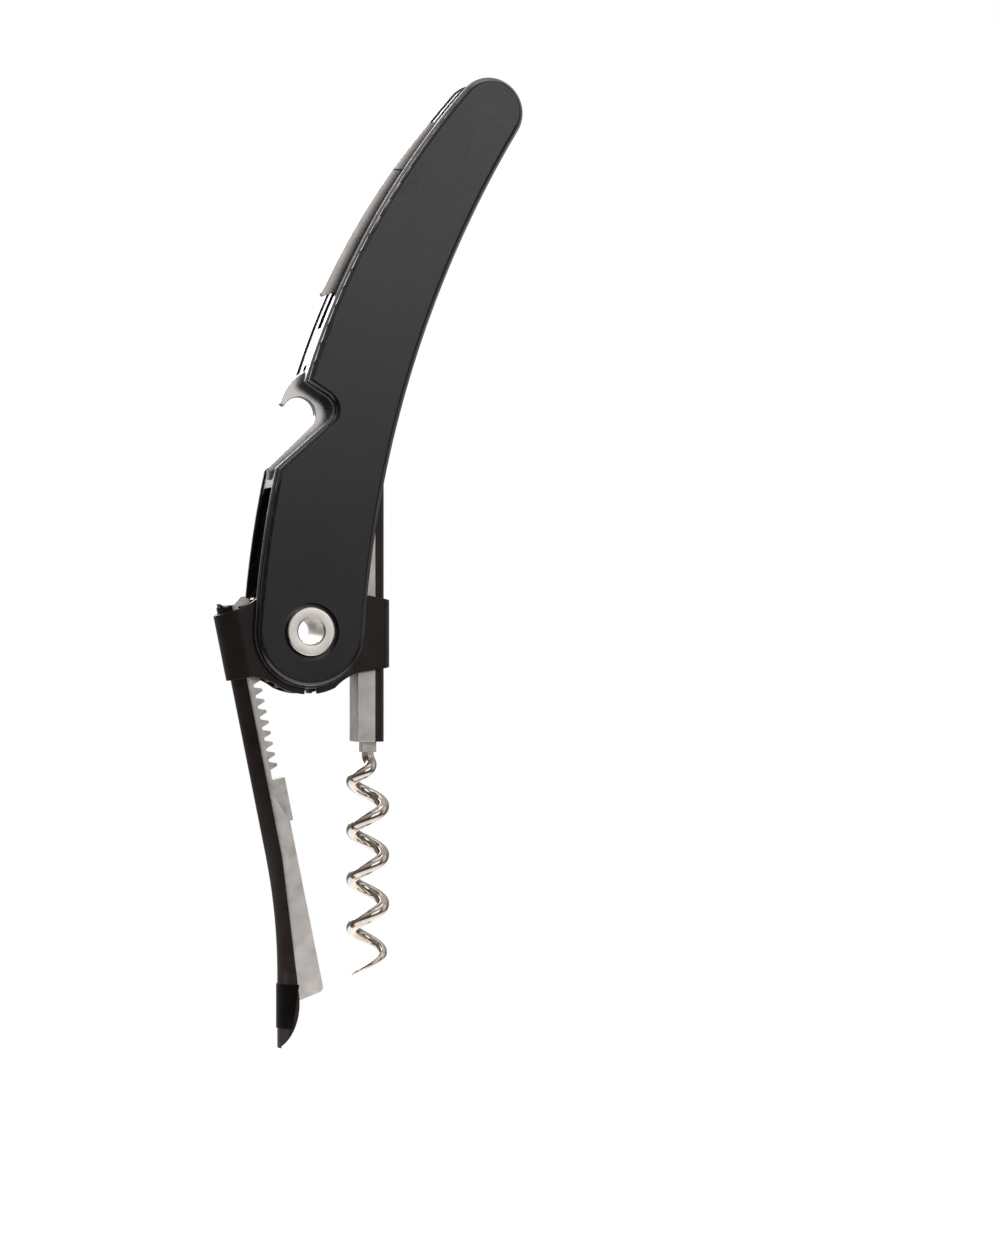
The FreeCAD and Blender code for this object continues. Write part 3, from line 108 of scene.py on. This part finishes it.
def ramp(tree: bpy.types.NodeTree, factor: bpy.types.NodeSocket,
         stops: Sequence[tuple[float, str]]) -> bpy.types.NodeSocket:
    """Map a factor to a run of colours.

    Args:
        tree: The node tree that gets the node.
        factor: The socket that drives the ramp.
        stops: Positions and hex colours in rising order.

    Returns:
        The ramp's colour socket.
    """
    node = add_node(tree, "ShaderNodeValToRGB", links={"Fac": factor})
    elements = node.color_ramp.elements
    for index, (position, colour) in enumerate(stops):
        element = elements[index] if index < 2 else elements.new(position)
        element.position = position
        element.color = linear(colour)
    return node.outputs["Color"]


def spread(tree: bpy.types.NodeTree, value: bpy.types.NodeSocket, low: float,
           high: float) -> bpy.types.NodeSocket:
    """Stretch a pattern's middle half over a range of values.

    Args:
        tree: The node tree that gets the node.
        value: A noise pattern's socket.
        low: The value at the pattern's quarter.
        high: The value at its three quarters.

    Returns:
        The mapped socket.
    """
    settings = {"From Min": 0.3, "From Max": 0.7, "To Min": low, "To Max": high}
    return add_node(tree, "ShaderNodeMapRange", settings, {"Value": value}).outputs["Result"]


# -------------------------------------------------------------------------------------- finishes
class Grain(Enum):
    """How a surface was worked, which sets the direction of its fine marks."""

    BLASTED = "even in every direction"
    UPRIGHT = "drawn out along the handle's length"
    ALONG_PIVOT = "drawn out along the pivot"


@dataclass(frozen=True)
class Finish:
    """A metal or painted surface with fine grain, cloudy gloss and a few scratches."""

    name: str
    light: str
    dark: str
    metallic: float
    roughness: tuple[float, float]
    grain: Grain = Grain.BLASTED
    grain_mm: float = 0.12
    grain_height_mm: float = 0.004
    cloud_mm: float = 6.0
    scratch_mm: float = 0.0
    edge_wear_and_sheen: Optional[str] = None
    shine: float = 0.5

    def build(self) -> bpy.types.Material:
        """Make the node material.

        Returns:
            The finished material.
        """
        material = bpy.data.materials.new(self.name)
        material.use_nodes = True
        tree = material.node_tree
        tree.nodes.clear()
        place = add_node(tree, "ShaderNodeTexCoord").outputs["Object"]
        stretch = {Grain.BLASTED: (1.0, 1.0, 1.0), Grain.UPRIGHT: (1.0, 1.0, 0.04),
                   Grain.ALONG_PIVOT: (1.0, 0.05, 1.0)}[self.grain]
        drawn = add_node(tree, "ShaderNodeMapping", {"Scale": stretch}, {"Vector": place}).outputs["Vector"]
        clouds = self.noise(tree, place, self.cloud_mm, 4.0)
        grain = self.noise(tree, drawn, self.grain_mm, 3.0)
        colour = ramp(tree, clouds, [(0.3, self.dark), (0.7, self.light)])
        gloss = add_node(tree, "ShaderNodeMath", {"operation": "ADD"},
                         {0: spread(tree, clouds, self.roughness[0], self.roughness[1]),
                          1: spread(tree, grain, -0.03, 0.03)}).outputs["Value"]
        height = grain
        if self.scratch_mm:
            lines = self.scratches(tree, place)
            gloss = add_node(tree, "ShaderNodeMath", {"operation": "MULTIPLY_ADD", 1: 0.12},
                             {0: lines, 2: gloss}).outputs["Value"]
            height = add_node(tree, "ShaderNodeMath", {"operation": "MULTIPLY_ADD", 1: -0.8},
                              {0: lines, 2: grain}).outputs["Value"]
        # Lighter raised edges: partly wear, partly painted highlight.
        if self.edge_wear_and_sheen:
            colour = self.wear_and_edge_sheen(tree, colour, clouds)
        bump = add_node(tree, "ShaderNodeBump", {"Strength": 0.5, "Distance": self.grain_height_mm * MM},
                        {"Height": height}).outputs["Normal"]
        shader = add_node(tree, "ShaderNodeBsdfPrincipled",
                          {"Metallic": self.metallic, "Specular IOR Level": self.shine},
                          {"Base Color": colour, "Roughness": gloss, "Normal": bump}).outputs["BSDF"]
        add_node(tree, "ShaderNodeOutputMaterial", links={"Surface": shader})
        return material

    def noise(self, tree: bpy.types.NodeTree, place: bpy.types.NodeSocket, size_mm: float,
              detail: float) -> bpy.types.NodeSocket:
        """Add a noise whose features are about a real size.

        Args:
            tree: The material's node tree.
            place: The coordinates it reads.
            size_mm: The width of its features.
            detail: Its layers of finer noise.

        Returns:
            The noise's value.
        """
        settings = {"Scale": 1 / (size_mm * MM), "Detail": detail, "Roughness": 0.6}
        return add_node(tree, "ShaderNodeTexNoise", settings, {"Vector": place}).outputs["Fac"]

    def scratches(self, tree: bpy.types.NodeTree, place: bpy.types.NodeSocket) -> bpy.types.NodeSocket:
        """Add thin, broken lines at two slants, as handling leaves.

        Args:
            tree: The material's node tree.
            place: The coordinates it reads.

        Returns:
            One on a line and zero between lines.
        """
        lines = None
        for turn in (0.5, -0.9):
            turned = add_node(tree, "ShaderNodeMapping",
                              {"Rotation": (0.0, turn, 0.3), "Scale": (1.0, 1.0, 0.06)}, {"Vector": place})
            cells = add_node(tree, "ShaderNodeTexVoronoi",
                             {"feature": "DISTANCE_TO_EDGE", "Scale": 1 / (self.scratch_mm * MM)},
                             {"Vector": turned.outputs["Vector"]}).outputs["Distance"]
            line = add_node(tree, "ShaderNodeMapRange",
                            {"From Min": 0.0, "From Max": 0.012, "To Min": 1.0, "To Max": 0.0},
                            {"Value": cells}).outputs["Result"]
            lines = line if lines is None else add_node(
                tree, "ShaderNodeMath", {"operation": "MAXIMUM"}, {0: lines, 1: line}).outputs["Value"]
        breaks = spread(tree, self.noise(tree, place, 9.0, 2.0), 0.0, 1.0)
        broken = add_node(tree, "ShaderNodeMath", {"operation": "MULTIPLY"}, {0: lines, 1: breaks})
        return broken.outputs["Value"]

    def wear_and_edge_sheen(self, tree: bpy.types.NodeTree, colour: bpy.types.NodeSocket,
             clouds: bpy.types.NodeSocket) -> bpy.types.NodeSocket:
        """Lighten raised edges: partly rubbed paint, partly a painted highlight for the thin bright line
        that the edges catch.

        Args:
            tree: The material's node tree.
            colour: The paint's colour.
            clouds: A pattern that breaks the wear and the painted highlight up.

        Returns:
            The worn colour.
        """
        edge = add_node(tree, "ShaderNodeMapRange",
                        {"From Min": 0.53, "From Max": 0.62, "To Min": 0.0, "To Max": 0.7},
                        {"Value": add_node(tree, "ShaderNodeNewGeometry").outputs["Pointiness"]})
        rubbed_and_lit = add_node(tree, "ShaderNodeMath", {"operation": "MULTIPLY"},
                          {0: edge.outputs["Result"], 1: clouds}).outputs["Value"]
        mix = add_node(tree, "ShaderNodeMix", {"data_type": "RGBA"})
        tree.links.new(rubbed_and_lit, mix.inputs["Factor"])
        tree.links.new(colour, mix.inputs[6])
        mix.inputs[7].default_value = linear(self.edge_wear_and_sheen)
        return mix.outputs[2]


# Black anodised aluminium: smooth and satin, so it shows the room as a soft gradient.
ANODISED_ALUMINIUM = Finish("black_anodised_aluminium", "#151113", "#100d0e", 0.0, (0.30, 0.36),
                            grain_mm=1.2, grain_height_mm=0.0003, cloud_mm=18.0)
# Black stoved enamel on steel sheet: duller and browner, with a faint orange peel. Its raised edges are
# painted lighter, partly as wear and partly as painted highlight.
STOVED_ENAMEL = Finish("black_stoved_enamel", "#201613", "#17100d", 0.0, (0.28, 0.36),
                       grain_mm=0.9, grain_height_mm=0.002, cloud_mm=5.0, edge_wear_and_sheen="#3a3430", shine=0.28)
# Gloss black lacquer on thin steel: deep and shiny.
GLOSS_LACQUER = Finish("black_gloss_lacquer", "#0d0a09", "#090706", 0.0, (0.07, 0.12),
                       grain_mm=1.5, grain_height_mm=0.003, cloud_mm=3.0, shine=0.25)
# The scales' milled edge, polished before it was anodised: it carries one long bright line.
POLISHED_EDGE = Finish("polished_black_anodised_edge", "#0f0c0d", "#0b0909", 0.0, (0.22, 0.26),
                       grain_mm=2.0, grain_height_mm=0.0002, cloud_mm=12.0)
# Bead-blasted stainless steel: pale and even, with cloudy patches where the dies rubbed it. The grit
# is drawn three times as coarse as it is, so that it shows.
BLASTED_STEEL = Finish("bead_blasted_stainless_steel", "#cbc6c2", "#b6b1ad", 1.0, (0.42, 0.52),
                       grain_mm=0.5, grain_height_mm=0.010, cloud_mm=3.5, scratch_mm=9.0)
# Milled carbon steel: the racks and the pinion, with cutter lines across the thickness.
MILLED_STEEL = Finish("milled_carbon_steel", "#d0cbc6", "#b8b2ac", 1.0, (0.36, 0.48),
                      grain=Grain.ALONG_PIVOT, grain_mm=0.35, grain_height_mm=0.006, cloud_mm=2.5)
# Carbon steel painted dark brown-grey as painted shade: it stands for the shade on the pinion's teeth,
# which sit dim between the plates.
PINION_PAINTED_SHADE_STEEL = Finish("pinion_steel_painted_shade", "#6a625b", "#4a433d", 1.0, (0.34, 0.44),
                        grain=Grain.ALONG_PIVOT, grain_mm=0.35, grain_height_mm=0.005, cloud_mm=2.0)
# Polished nickel plate: bright and clear, with a faint haze.
NICKEL_PLATE = Finish("polished_nickel_plate", "#b3aaa0", "#9b9289", 1.0, (0.10, 0.16),
                      grain_mm=1.5, grain_height_mm=0.0005, cloud_mm=4.0)
# Brushed nickel plate on the rivet's flat face: a little duller than the polished edge.
SATIN_NICKEL = Finish("satin_nickel_plate", "#f0ece6", "#e2ddd7", 1.0, (0.44, 0.52),
                      grain_mm=0.5, grain_height_mm=0.001, cloud_mm=4.0)
# Dark nickel plate on the liners and the web: its spine shows long soft highlights.
DARK_NICKEL = Finish("dark_nickel_plate", "#5e5b60", "#4e4b50", 1.0, (0.24, 0.32),
                     grain=Grain.UPRIGHT, grain_mm=0.8, grain_height_mm=0.001, cloud_mm=10.0)
# Dark brown steel as painted shade: the liners' inner sides, painted dark where shade falls inside the
# handle.
LINER_PAINTED_SHADE_STEEL = Finish("liner_inside_painted_shade", "#2b2421", "#1d1816", 0.6, (0.40, 0.52),
                         grain_mm=0.4, grain_height_mm=0.006, cloud_mm=4.0)
# Tumbled stainless steel: the claw, rounded and grey from the barrel.
TUMBLED_STEEL = Finish("tumbled_stainless_steel", "#d2cecb", "#bfbab7", 1.0, (0.26, 0.34),
                       grain_mm=0.8, grain_height_mm=0.0015, cloud_mm=2.2)
# Ground stainless steel: the knife, with grinding lines along its length.
GROUND_STEEL = Finish("ground_stainless_steel", "#aca7a3", "#9d9894", 1.0, (0.28, 0.34),
                      grain=Grain.UPRIGHT, grain_mm=0.9, grain_height_mm=0.0003, cloud_mm=9.0)
# Tempered spring steel: dark grey with a blue cast.
SPRING_STEEL = Finish("tempered_spring_steel", "#5d6067", "#45474d", 1.0, (0.30, 0.42),
                      grain_mm=0.4, grain_height_mm=0.004, cloud_mm=3.0)


# ---------------------------------------------------------------------------------- mesh helpers
def select_only(piece: bpy.types.Object) -> None:
    """Select one object and make it active."""
    bpy.ops.object.select_all(action="DESELECT")
    piece.select_set(True)
    bpy.context.view_layer.objects.active = piece


def apply_modifier(piece: bpy.types.Object, kind: str, settings: dict) -> None:
    """Add a modifier with its settings and apply it.

    Args:
        piece: The object that it works on.
        kind: The modifier's type name.
        settings: The modifier's properties by name.
    """
    select_only(piece)
    modifier = piece.modifiers.new(kind.lower(), kind)
    for key, value in settings.items():
        setattr(modifier, key, value)
    bpy.ops.object.modifier_apply(modifier=modifier.name)


def dress(piece: bpy.types.Object, finish: Finish, materials: dict) -> None:
    """Give a piece one finish, made once and shared.

    Args:
        piece: The object to dress.
        finish: Its finish.
        materials: The materials made so far, by finish name.
    """
    if finish.name not in materials:
        materials[finish.name] = finish.build()
    piece.data.materials.clear()
    piece.data.materials.append(materials[finish.name])


def finished_copy(node: str, name: str, bevel_mm: float) -> bpy.types.Object:
    """Copy a CAD node's mesh, weld it, break its sharp edges and smooth its curves.

    Args:
        node: The CAD node.
        name: The new piece's name.
        bevel_mm: The width of the broken edges, or zero where the CAD has rounded them.

    Returns:
        The new piece.
    """
    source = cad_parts[node]
    piece = source.copy()
    piece.data = source.data.copy()
    piece.name = name
    piece.parent = None
    bpy.context.scene.collection.objects.link(piece)
    select_only(piece)
    bpy.ops.mesh.customdata_custom_splitnormals_clear()
    bpy.ops.object.mode_set(mode="EDIT")
    bpy.ops.mesh.select_all(action="SELECT")
    bpy.ops.mesh.remove_doubles(threshold=WELD_MM * MM)
    bpy.ops.mesh.dissolve_limited(angle_limit=math.radians(FLAT_DEG))
    bpy.ops.object.mode_set(mode="OBJECT")
    if bevel_mm:
        apply_modifier(piece, "BEVEL", {"width": bevel_mm * MM, "segments": BEVEL_STEPS,
                                        "limit_method": "ANGLE", "angle_limit": math.radians(SHARP_DEG),
                                        "miter_outer": "MITER_ARC"})
    select_only(piece)
    bpy.ops.object.shade_smooth_by_angle(angle=math.radians(SMOOTH_DEG))
    apply_modifier(piece, "WEIGHTED_NORMAL", {"keep_sharp": True})
    return piece


def turned_ring(name: str, profile: Sequence[tuple[float, float]]) -> bpy.types.Object:
    """Turn a closed profile about the pivot, ring by ring.

    Args:
        name: The new piece's name.
        profile: Radius and distance along the pivot for each ring, in millimetres, outwards facing when
            it runs clockwise.

    Returns:
        The new piece.
    """
    bpy.ops.object.select_all(action="DESELECT")
    radius, along = profile[0]
    bpy.ops.mesh.primitive_circle_add(vertices=RING_SIDES, radius=radius * MM, location=(0, along * MM, 0),
                                      rotation=(math.radians(90), 0, 0))
    piece = bpy.context.object
    piece.name = name
    bpy.ops.object.transform_apply(location=True, rotation=True, scale=True)
    bpy.ops.object.mode_set(mode="EDIT")
    bpy.ops.mesh.select_all(action="SELECT")
    for next_radius, next_along in list(profile[1:]) + [profile[0]]:
        bpy.ops.mesh.extrude_edges_move(TRANSFORM_OT_translate={"value": (0, (next_along - along) * MM, 0)})
        scale = next_radius / radius
        bpy.ops.transform.resize(value=(scale, 1, scale), center_override=(0, next_along * MM, 0))
        radius, along = next_radius, next_along
    bpy.ops.mesh.select_all(action="SELECT")
    bpy.ops.mesh.remove_doubles(threshold=0.001 * MM)
    bpy.ops.mesh.normals_make_consistent(inside=False)
    bpy.ops.object.mode_set(mode="OBJECT")
    bpy.ops.object.shade_smooth_by_angle(angle=math.radians(40))
    return piece


def paint_faces(piece: bpy.types.Object, finish: Finish, materials: dict,
                test: Callable[[Vector, Vector], bool]) -> None:
    """Give some of a piece's faces a second finish.

    Args:
        piece: The dressed piece.
        finish: The second finish.
        materials: The materials made so far, by finish name.
        test: Says from a face's centre and normal whether it takes the second finish.
    """
    if finish.name not in materials:
        materials[finish.name] = finish.build()
    piece.data.materials.append(materials[finish.name])
    for face in piece.data.polygons:
        if test(face.center, face.normal):
            face.material_index = len(piece.data.materials) - 1


# --------------------------------------------------------------------------------- sub-assemblies
@dataclass
class SubAssembly:
    """A group of pieces that ride on one CAD body."""

    body: str = ""
    copies: tuple[tuple[str, Finish, float], ...] = ()
    materials: dict = field(default_factory=dict)

    pieces: list[bpy.types.Object] = field(default_factory=list)

    def build(self) -> None:
        """Make a finished copy of each listed CAD node."""
        for node, finish, bevel_mm in self.copies:
            self.place(finished_copy(node, f"{node}_finished", bevel_mm), finish, node)

    def place(self, piece: bpy.types.Object, finish: Finish, node: str) -> None:
        """Dress a piece, hang it on the body and let it stand for its CAD node.

        Args:
            piece: The finished object.
            finish: Its finish.
            node: The CAD node that it replaces.
        """
        dress(piece, finish, self.materials)
        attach(piece, self.body)
        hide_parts(node)
        self.pieces.append(piece)

    def report(self) -> None:
        """Log each piece of the group."""
        for piece in self.pieces:
            LOG.info("%s: %d faces, rides on %s", piece.name, len(piece.data.polygons), self.body)


@dataclass
class BootLever(SubAssembly):
    """The geared arm that stands on the bottle's lip."""

    body: str = "arm"
    copies: tuple[tuple[str, Finish, float], ...] = (
        ("arm_channel", BLASTED_STEEL, 0.12),
        ("arm_rack", MILLED_STEEL, 0.08),
        ("arm_cover", STOVED_ENAMEL, 0.10),
        ("arm_tip_clip", GLOSS_LACQUER, 0.06),
        ("arm_stop", STOVED_ENAMEL, 0.10))


@dataclass
class Carriage(SubAssembly):
    """The folded bracket that slides on both bars, with its thrust washers."""

    body: str = "carriage"
    copies: tuple[tuple[str, Finish, float], ...] = (
        ("carriage_bracket", STOVED_ENAMEL, 0.12),
        ("front_washer", MILLED_STEEL, 0.06),
        ("back_washer", MILLED_STEEL, 0.06))


@dataclass
class Handle(SubAssembly):
    """The curved handle, its pinion, its claw and what holds the knife."""

    body: str = "handle"
    liner_inside: float = 4.9
    rivet_bore: float = 2.85
    rivet_flange: float = 5.35
    rivet_face: float = 7.2
    rivet_seat: float = 5.65
    rivet_barrel: float = 3.6
    rivet_edge: float = 0.42
    rivet_edge_steps: int = 6
    copies: tuple[tuple[str, Finish, float], ...] = (
        ("spine_web", DARK_NICKEL, 0.10),
        # The pinion takes a darker steel as painted shade between the plates.
        ("pinion", PINION_PAINTED_SHADE_STEEL, 0.05),
        ("cap_lifter", TUMBLED_STEEL, 0.35),
        ("lifter_pins", MILLED_STEEL, 0.10),
        ("knife_pin", MILLED_STEEL, 0.10),
        ("front_bush", MILLED_STEEL, 0.06),
        ("back_bush", MILLED_STEEL, 0.06),
        ("knife_spring", SPRING_STEEL, 0.10),
        ("spring_pin", MILLED_STEEL, 0.10))

    def build(self) -> None:
        """Make the copies, the liners with painted shade on their insides, the scales and the rivet."""
        super().build()
        for node in ("front_scale", "back_scale"):
            piece = finished_copy(node, f"{node}_finished", 0.0)
            self.place(piece, ANODISED_ALUMINIUM, node)
            paint_faces(piece, POLISHED_EDGE, self.materials, lambda centre, normal: abs(normal.y) < 0.98)
        for node in ("front_liner", "back_liner"):
            piece = finished_copy(node, f"{node}_finished", 0.14)
            self.place(piece, DARK_NICKEL, node)
            # The liners' inner faces get a dark finish: painted shade inside the handle.
            paint_faces(piece, LINER_PAINTED_SHADE_STEEL, self.materials, self.is_painted_shade_side)
        self.rivet()

    def is_painted_shade_side(self, centre: Vector, normal: Vector) -> bool:
        """Say whether a liner's face looks into the handle and so takes the painted shade."""
        return abs(normal.y) > 0.9 and abs(centre.y) < self.liner_inside * MM

    def rivet(self) -> None:
        """Turn the hollow rivet: a flat-faced flange with rolled edges at each end of its barrel."""
        steps = self.rivet_edge_steps
        turns = [math.radians(90 * step / steps) for step in range(steps + 1)]
        roll = [(self.rivet_edge * (1 - math.sin(turn)), self.rivet_edge * (1 - math.cos(turn)))
                for turn in turns]
        half = [(self.rivet_bore + inset, self.rivet_face - drop) for inset, drop in reversed(roll)]
        half += [(self.rivet_flange - inset, self.rivet_face - drop) for inset, drop in roll]
        half += [(self.rivet_flange, self.rivet_seat), (self.rivet_barrel, self.rivet_seat)]
        other_half = [(radius, -along) for radius, along in reversed(half)]
        piece = turned_ring("pivot_eyelet_finished", half + other_half)
        self.place(piece, NICKEL_PLATE, "pivot_eyelet")
        paint_faces(piece, SATIN_NICKEL, self.materials, self.is_satin)

    def is_satin(self, centre: Vector, normal: Vector) -> bool:
        """Say whether a rivet's face is on a flange's flat or in the bore."""
        flat = abs(normal.y) > 0.99 and abs(centre.y) > self.rivet_seat * 1.05 * MM
        return flat or math.hypot(centre.x, centre.z) < self.rivet_bore * 1.01 * MM


@dataclass
class WormShaft(SubAssembly):
    """The bar that carries the worm."""

    body: str = "worm_shaft"
    copies: tuple[tuple[str, Finish, float], ...] = (
        ("shaft_channel", BLASTED_STEEL, 0.15),
        ("shaft_rack", MILLED_STEEL, 0.08),
        ("shaft_cover", STOVED_ENAMEL, 0.10),
        ("worm_pin", MILLED_STEEL, 0.08))
    tang_bottom: float = -27.3

    def build(self) -> None:
        """Make the copies and the worm, whose flattened tang was left as pressed."""
        super().build()
        piece = finished_copy("worm", "worm_finished", 0.0)
        self.place(piece, NICKEL_PLATE, "worm")
        paint_faces(piece, MILLED_STEEL, self.materials,
                    lambda centre, normal: centre.z > self.tang_bottom * MM)


@dataclass
class Knife(SubAssembly):
    """The folding foil knife."""

    body: str = "knife"
    copies: tuple[tuple[str, Finish, float], ...] = (("foil_blade", GROUND_STEEL, 0.12),)


# ----------------------------------------------------------------------------------------- studio
@dataclass
class Lamp:
    """A soft rectangular light."""

    name: str
    place: tuple[float, float, float]
    size: tuple[float, float]
    watts: float


@dataclass
class Studio:
    """A white room: floor, soft lights and the camera."""

    floor_radius: float = 0.30
    floor_clear: float = 0.06
    floor_drop: float = 0.0325
    floor_glow: float = 0.9
    aim: tuple[float, float, float] = (0.012, 0.0, 0.016)
    lamps: tuple[Lamp, ...] = (
        Lamp("left_softbox", (-0.62, 0.72, 0.60), (0.6, 0.4), 4.5),
        Lamp("back_softbox", (-0.15, 1.20, 0.50), (0.5, 0.6), 6.0),
        Lamp("front_softbox", (0.50, -1.20, 0.50), (1.1, 0.7), 5.4),
        Lamp("right_card", (0.80, -0.10, 0.20), (0.4, 0.8), 0.8),
        Lamp("top_softbox", (0.05, 0.05, 0.95), (0.9, 0.6), 3.6))
    camera_place: tuple[float, float, float] = (-0.16693, -0.66950, 0.000675)
    camera_heading_deg: float = -17.558
    lens_mm: float = 90.56
    sensor_mm: float = 36.0

    def build(self) -> None:
        """Set up the floor, the lights, the sky and the camera."""
        self.floor()
        self.sky()
        for lamp in self.lamps:
            self.light(lamp)
        self.camera()

    def floor(self) -> None:
        """Lay a pale board, clear of the worm at full travel, whose rim fades into the white room."""
        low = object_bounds()[0][2] - self.floor_drop
        bpy.ops.object.select_all(action="DESELECT")
        bpy.ops.mesh.primitive_circle_add(vertices=96, radius=self.floor_radius, fill_type="NGON",
                                          location=(0, 0, low))
        disc = bpy.context.object
        disc.name = "floor"
        bpy.ops.object.transform_apply(location=True, rotation=True, scale=True)
        material = bpy.data.materials.new("matt_white_board")
        material.use_nodes = True
        tree = material.node_tree
        tree.nodes.clear()
        place = add_node(tree, "ShaderNodeTexCoord").outputs["Object"]
        level = add_node(tree, "ShaderNodeVectorMath", {"operation": "MULTIPLY", 1: (1.0, 1.0, 0.0)},
                         {0: place}).outputs["Vector"]
        distance = add_node(tree, "ShaderNodeVectorMath", {"operation": "LENGTH"},
                            {0: level}).outputs["Value"]
        fade = add_node(tree, "ShaderNodeMapRange",
                        {"interpolation_type": "SMOOTHSTEP", "From Min": self.floor_clear,
                         "From Max": self.floor_radius * 0.95}, {"Value": distance}).outputs["Result"]
        board = add_node(tree, "ShaderNodeBsdfPrincipled",
                         {"Base Color": linear("#f6f5f3"), "Roughness": 0.9, "Emission Color": (1, 1, 1, 1),
                          "Emission Strength": self.floor_glow}).outputs["BSDF"]
        clear = add_node(tree, "ShaderNodeBsdfTransparent").outputs["BSDF"]
        mix = add_node(tree, "ShaderNodeMixShader",
                       links={"Fac": fade, 1: board, 2: clear}).outputs["Shader"]
        add_node(tree, "ShaderNodeOutputMaterial", links={"Surface": mix})
        disc.data.materials.append(material)
        disc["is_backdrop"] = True

    def sky(self) -> None:
        """Make a white room that is dim in front and below, for the black parts to mirror."""
        world = bpy.data.worlds.new("white_room")
        bpy.context.scene.world = world
        world.use_nodes = True
        tree = world.node_tree
        tree.nodes.clear()
        way = add_node(tree, "ShaderNodeTexCoord").outputs["Generated"]
        parts = add_node(tree, "ShaderNodeSeparateXYZ", links={"Vector": way})
        behind = add_node(tree, "ShaderNodeMapRange",
                          {"From Min": -1.0, "From Max": 0.6, "To Min": 0.10, "To Max": 0.36},
                          {"Value": parts.outputs["Y"]}).outputs["Result"]
        above = add_node(tree, "ShaderNodeMapRange",
                         {"From Min": 0.15, "From Max": 0.8, "To Min": 0.0, "To Max": 0.6},
                         {"Value": parts.outputs["Z"]}).outputs["Result"]
        below = add_node(tree, "ShaderNodeMapRange",
                         {"From Min": -0.35, "From Max": 0.0, "To Min": 0.3, "To Max": 1.0},
                         {"Value": parts.outputs["Z"]}).outputs["Result"]
        room = add_node(tree, "ShaderNodeMath", {"operation": "ADD"},
                        {0: behind, 1: above}).outputs["Value"]
        room = add_node(tree, "ShaderNodeMath", {"operation": "MULTIPLY"},
                        {0: room, 1: below}).outputs["Value"]
        seen = add_node(tree, "ShaderNodeLightPath").outputs["Is Camera Ray"]
        strength = add_node(tree, "ShaderNodeMath", {"operation": "MAXIMUM"}, {0: room, 1: seen})
        background = add_node(tree, "ShaderNodeBackground", {"Color": (1.0, 1.0, 1.0, 1.0)},
                              {"Strength": strength.outputs["Value"]}).outputs["Background"]
        add_node(tree, "ShaderNodeOutputWorld", links={"Surface": background})

    def light(self, lamp: Lamp) -> None:
        """Hang one soft light, facing the object.

        Args:
            lamp: The light's name, place, size and power.
        """
        data = bpy.data.lights.new(lamp.name, "AREA")
        data.shape = "RECTANGLE"
        data.size, data.size_y = lamp.size
        data.energy = lamp.watts
        light = bpy.data.objects.new(lamp.name, data)
        light.location = lamp.place
        aim = Vector(self.aim) - Vector(lamp.place)
        light.rotation_euler = aim.to_track_quat("-Z", "Y").to_euler()
        bpy.context.scene.collection.objects.link(light)

    def camera(self) -> None:
        """Set up the camera level with the pivot, a little to the boot lever's side."""
        data = bpy.data.cameras.new("camera")
        data.lens = self.lens_mm
        data.sensor_width = self.sensor_mm
        camera = bpy.data.objects.new("camera", data)
        camera.location = self.camera_place
        camera.rotation_euler = (math.radians(90), 0.0, math.radians(self.camera_heading_deg))
        bpy.context.scene.collection.objects.link(camera)
        bpy.context.scene.camera = camera


def main() -> None:
    """Build every sub-assembly and the studio."""
    logging.basicConfig(level=logging.INFO, format="%(message)s")
    bpy.context.scene.view_settings.view_transform = "Standard"
    materials: dict = {}
    for kind in (BootLever, Carriage, Handle, WormShaft, Knife):
        assembly = kind(materials=materials)
        assembly.build()
        assembly.report()
    Studio().build()


if __name__ == "__main__":
    main()
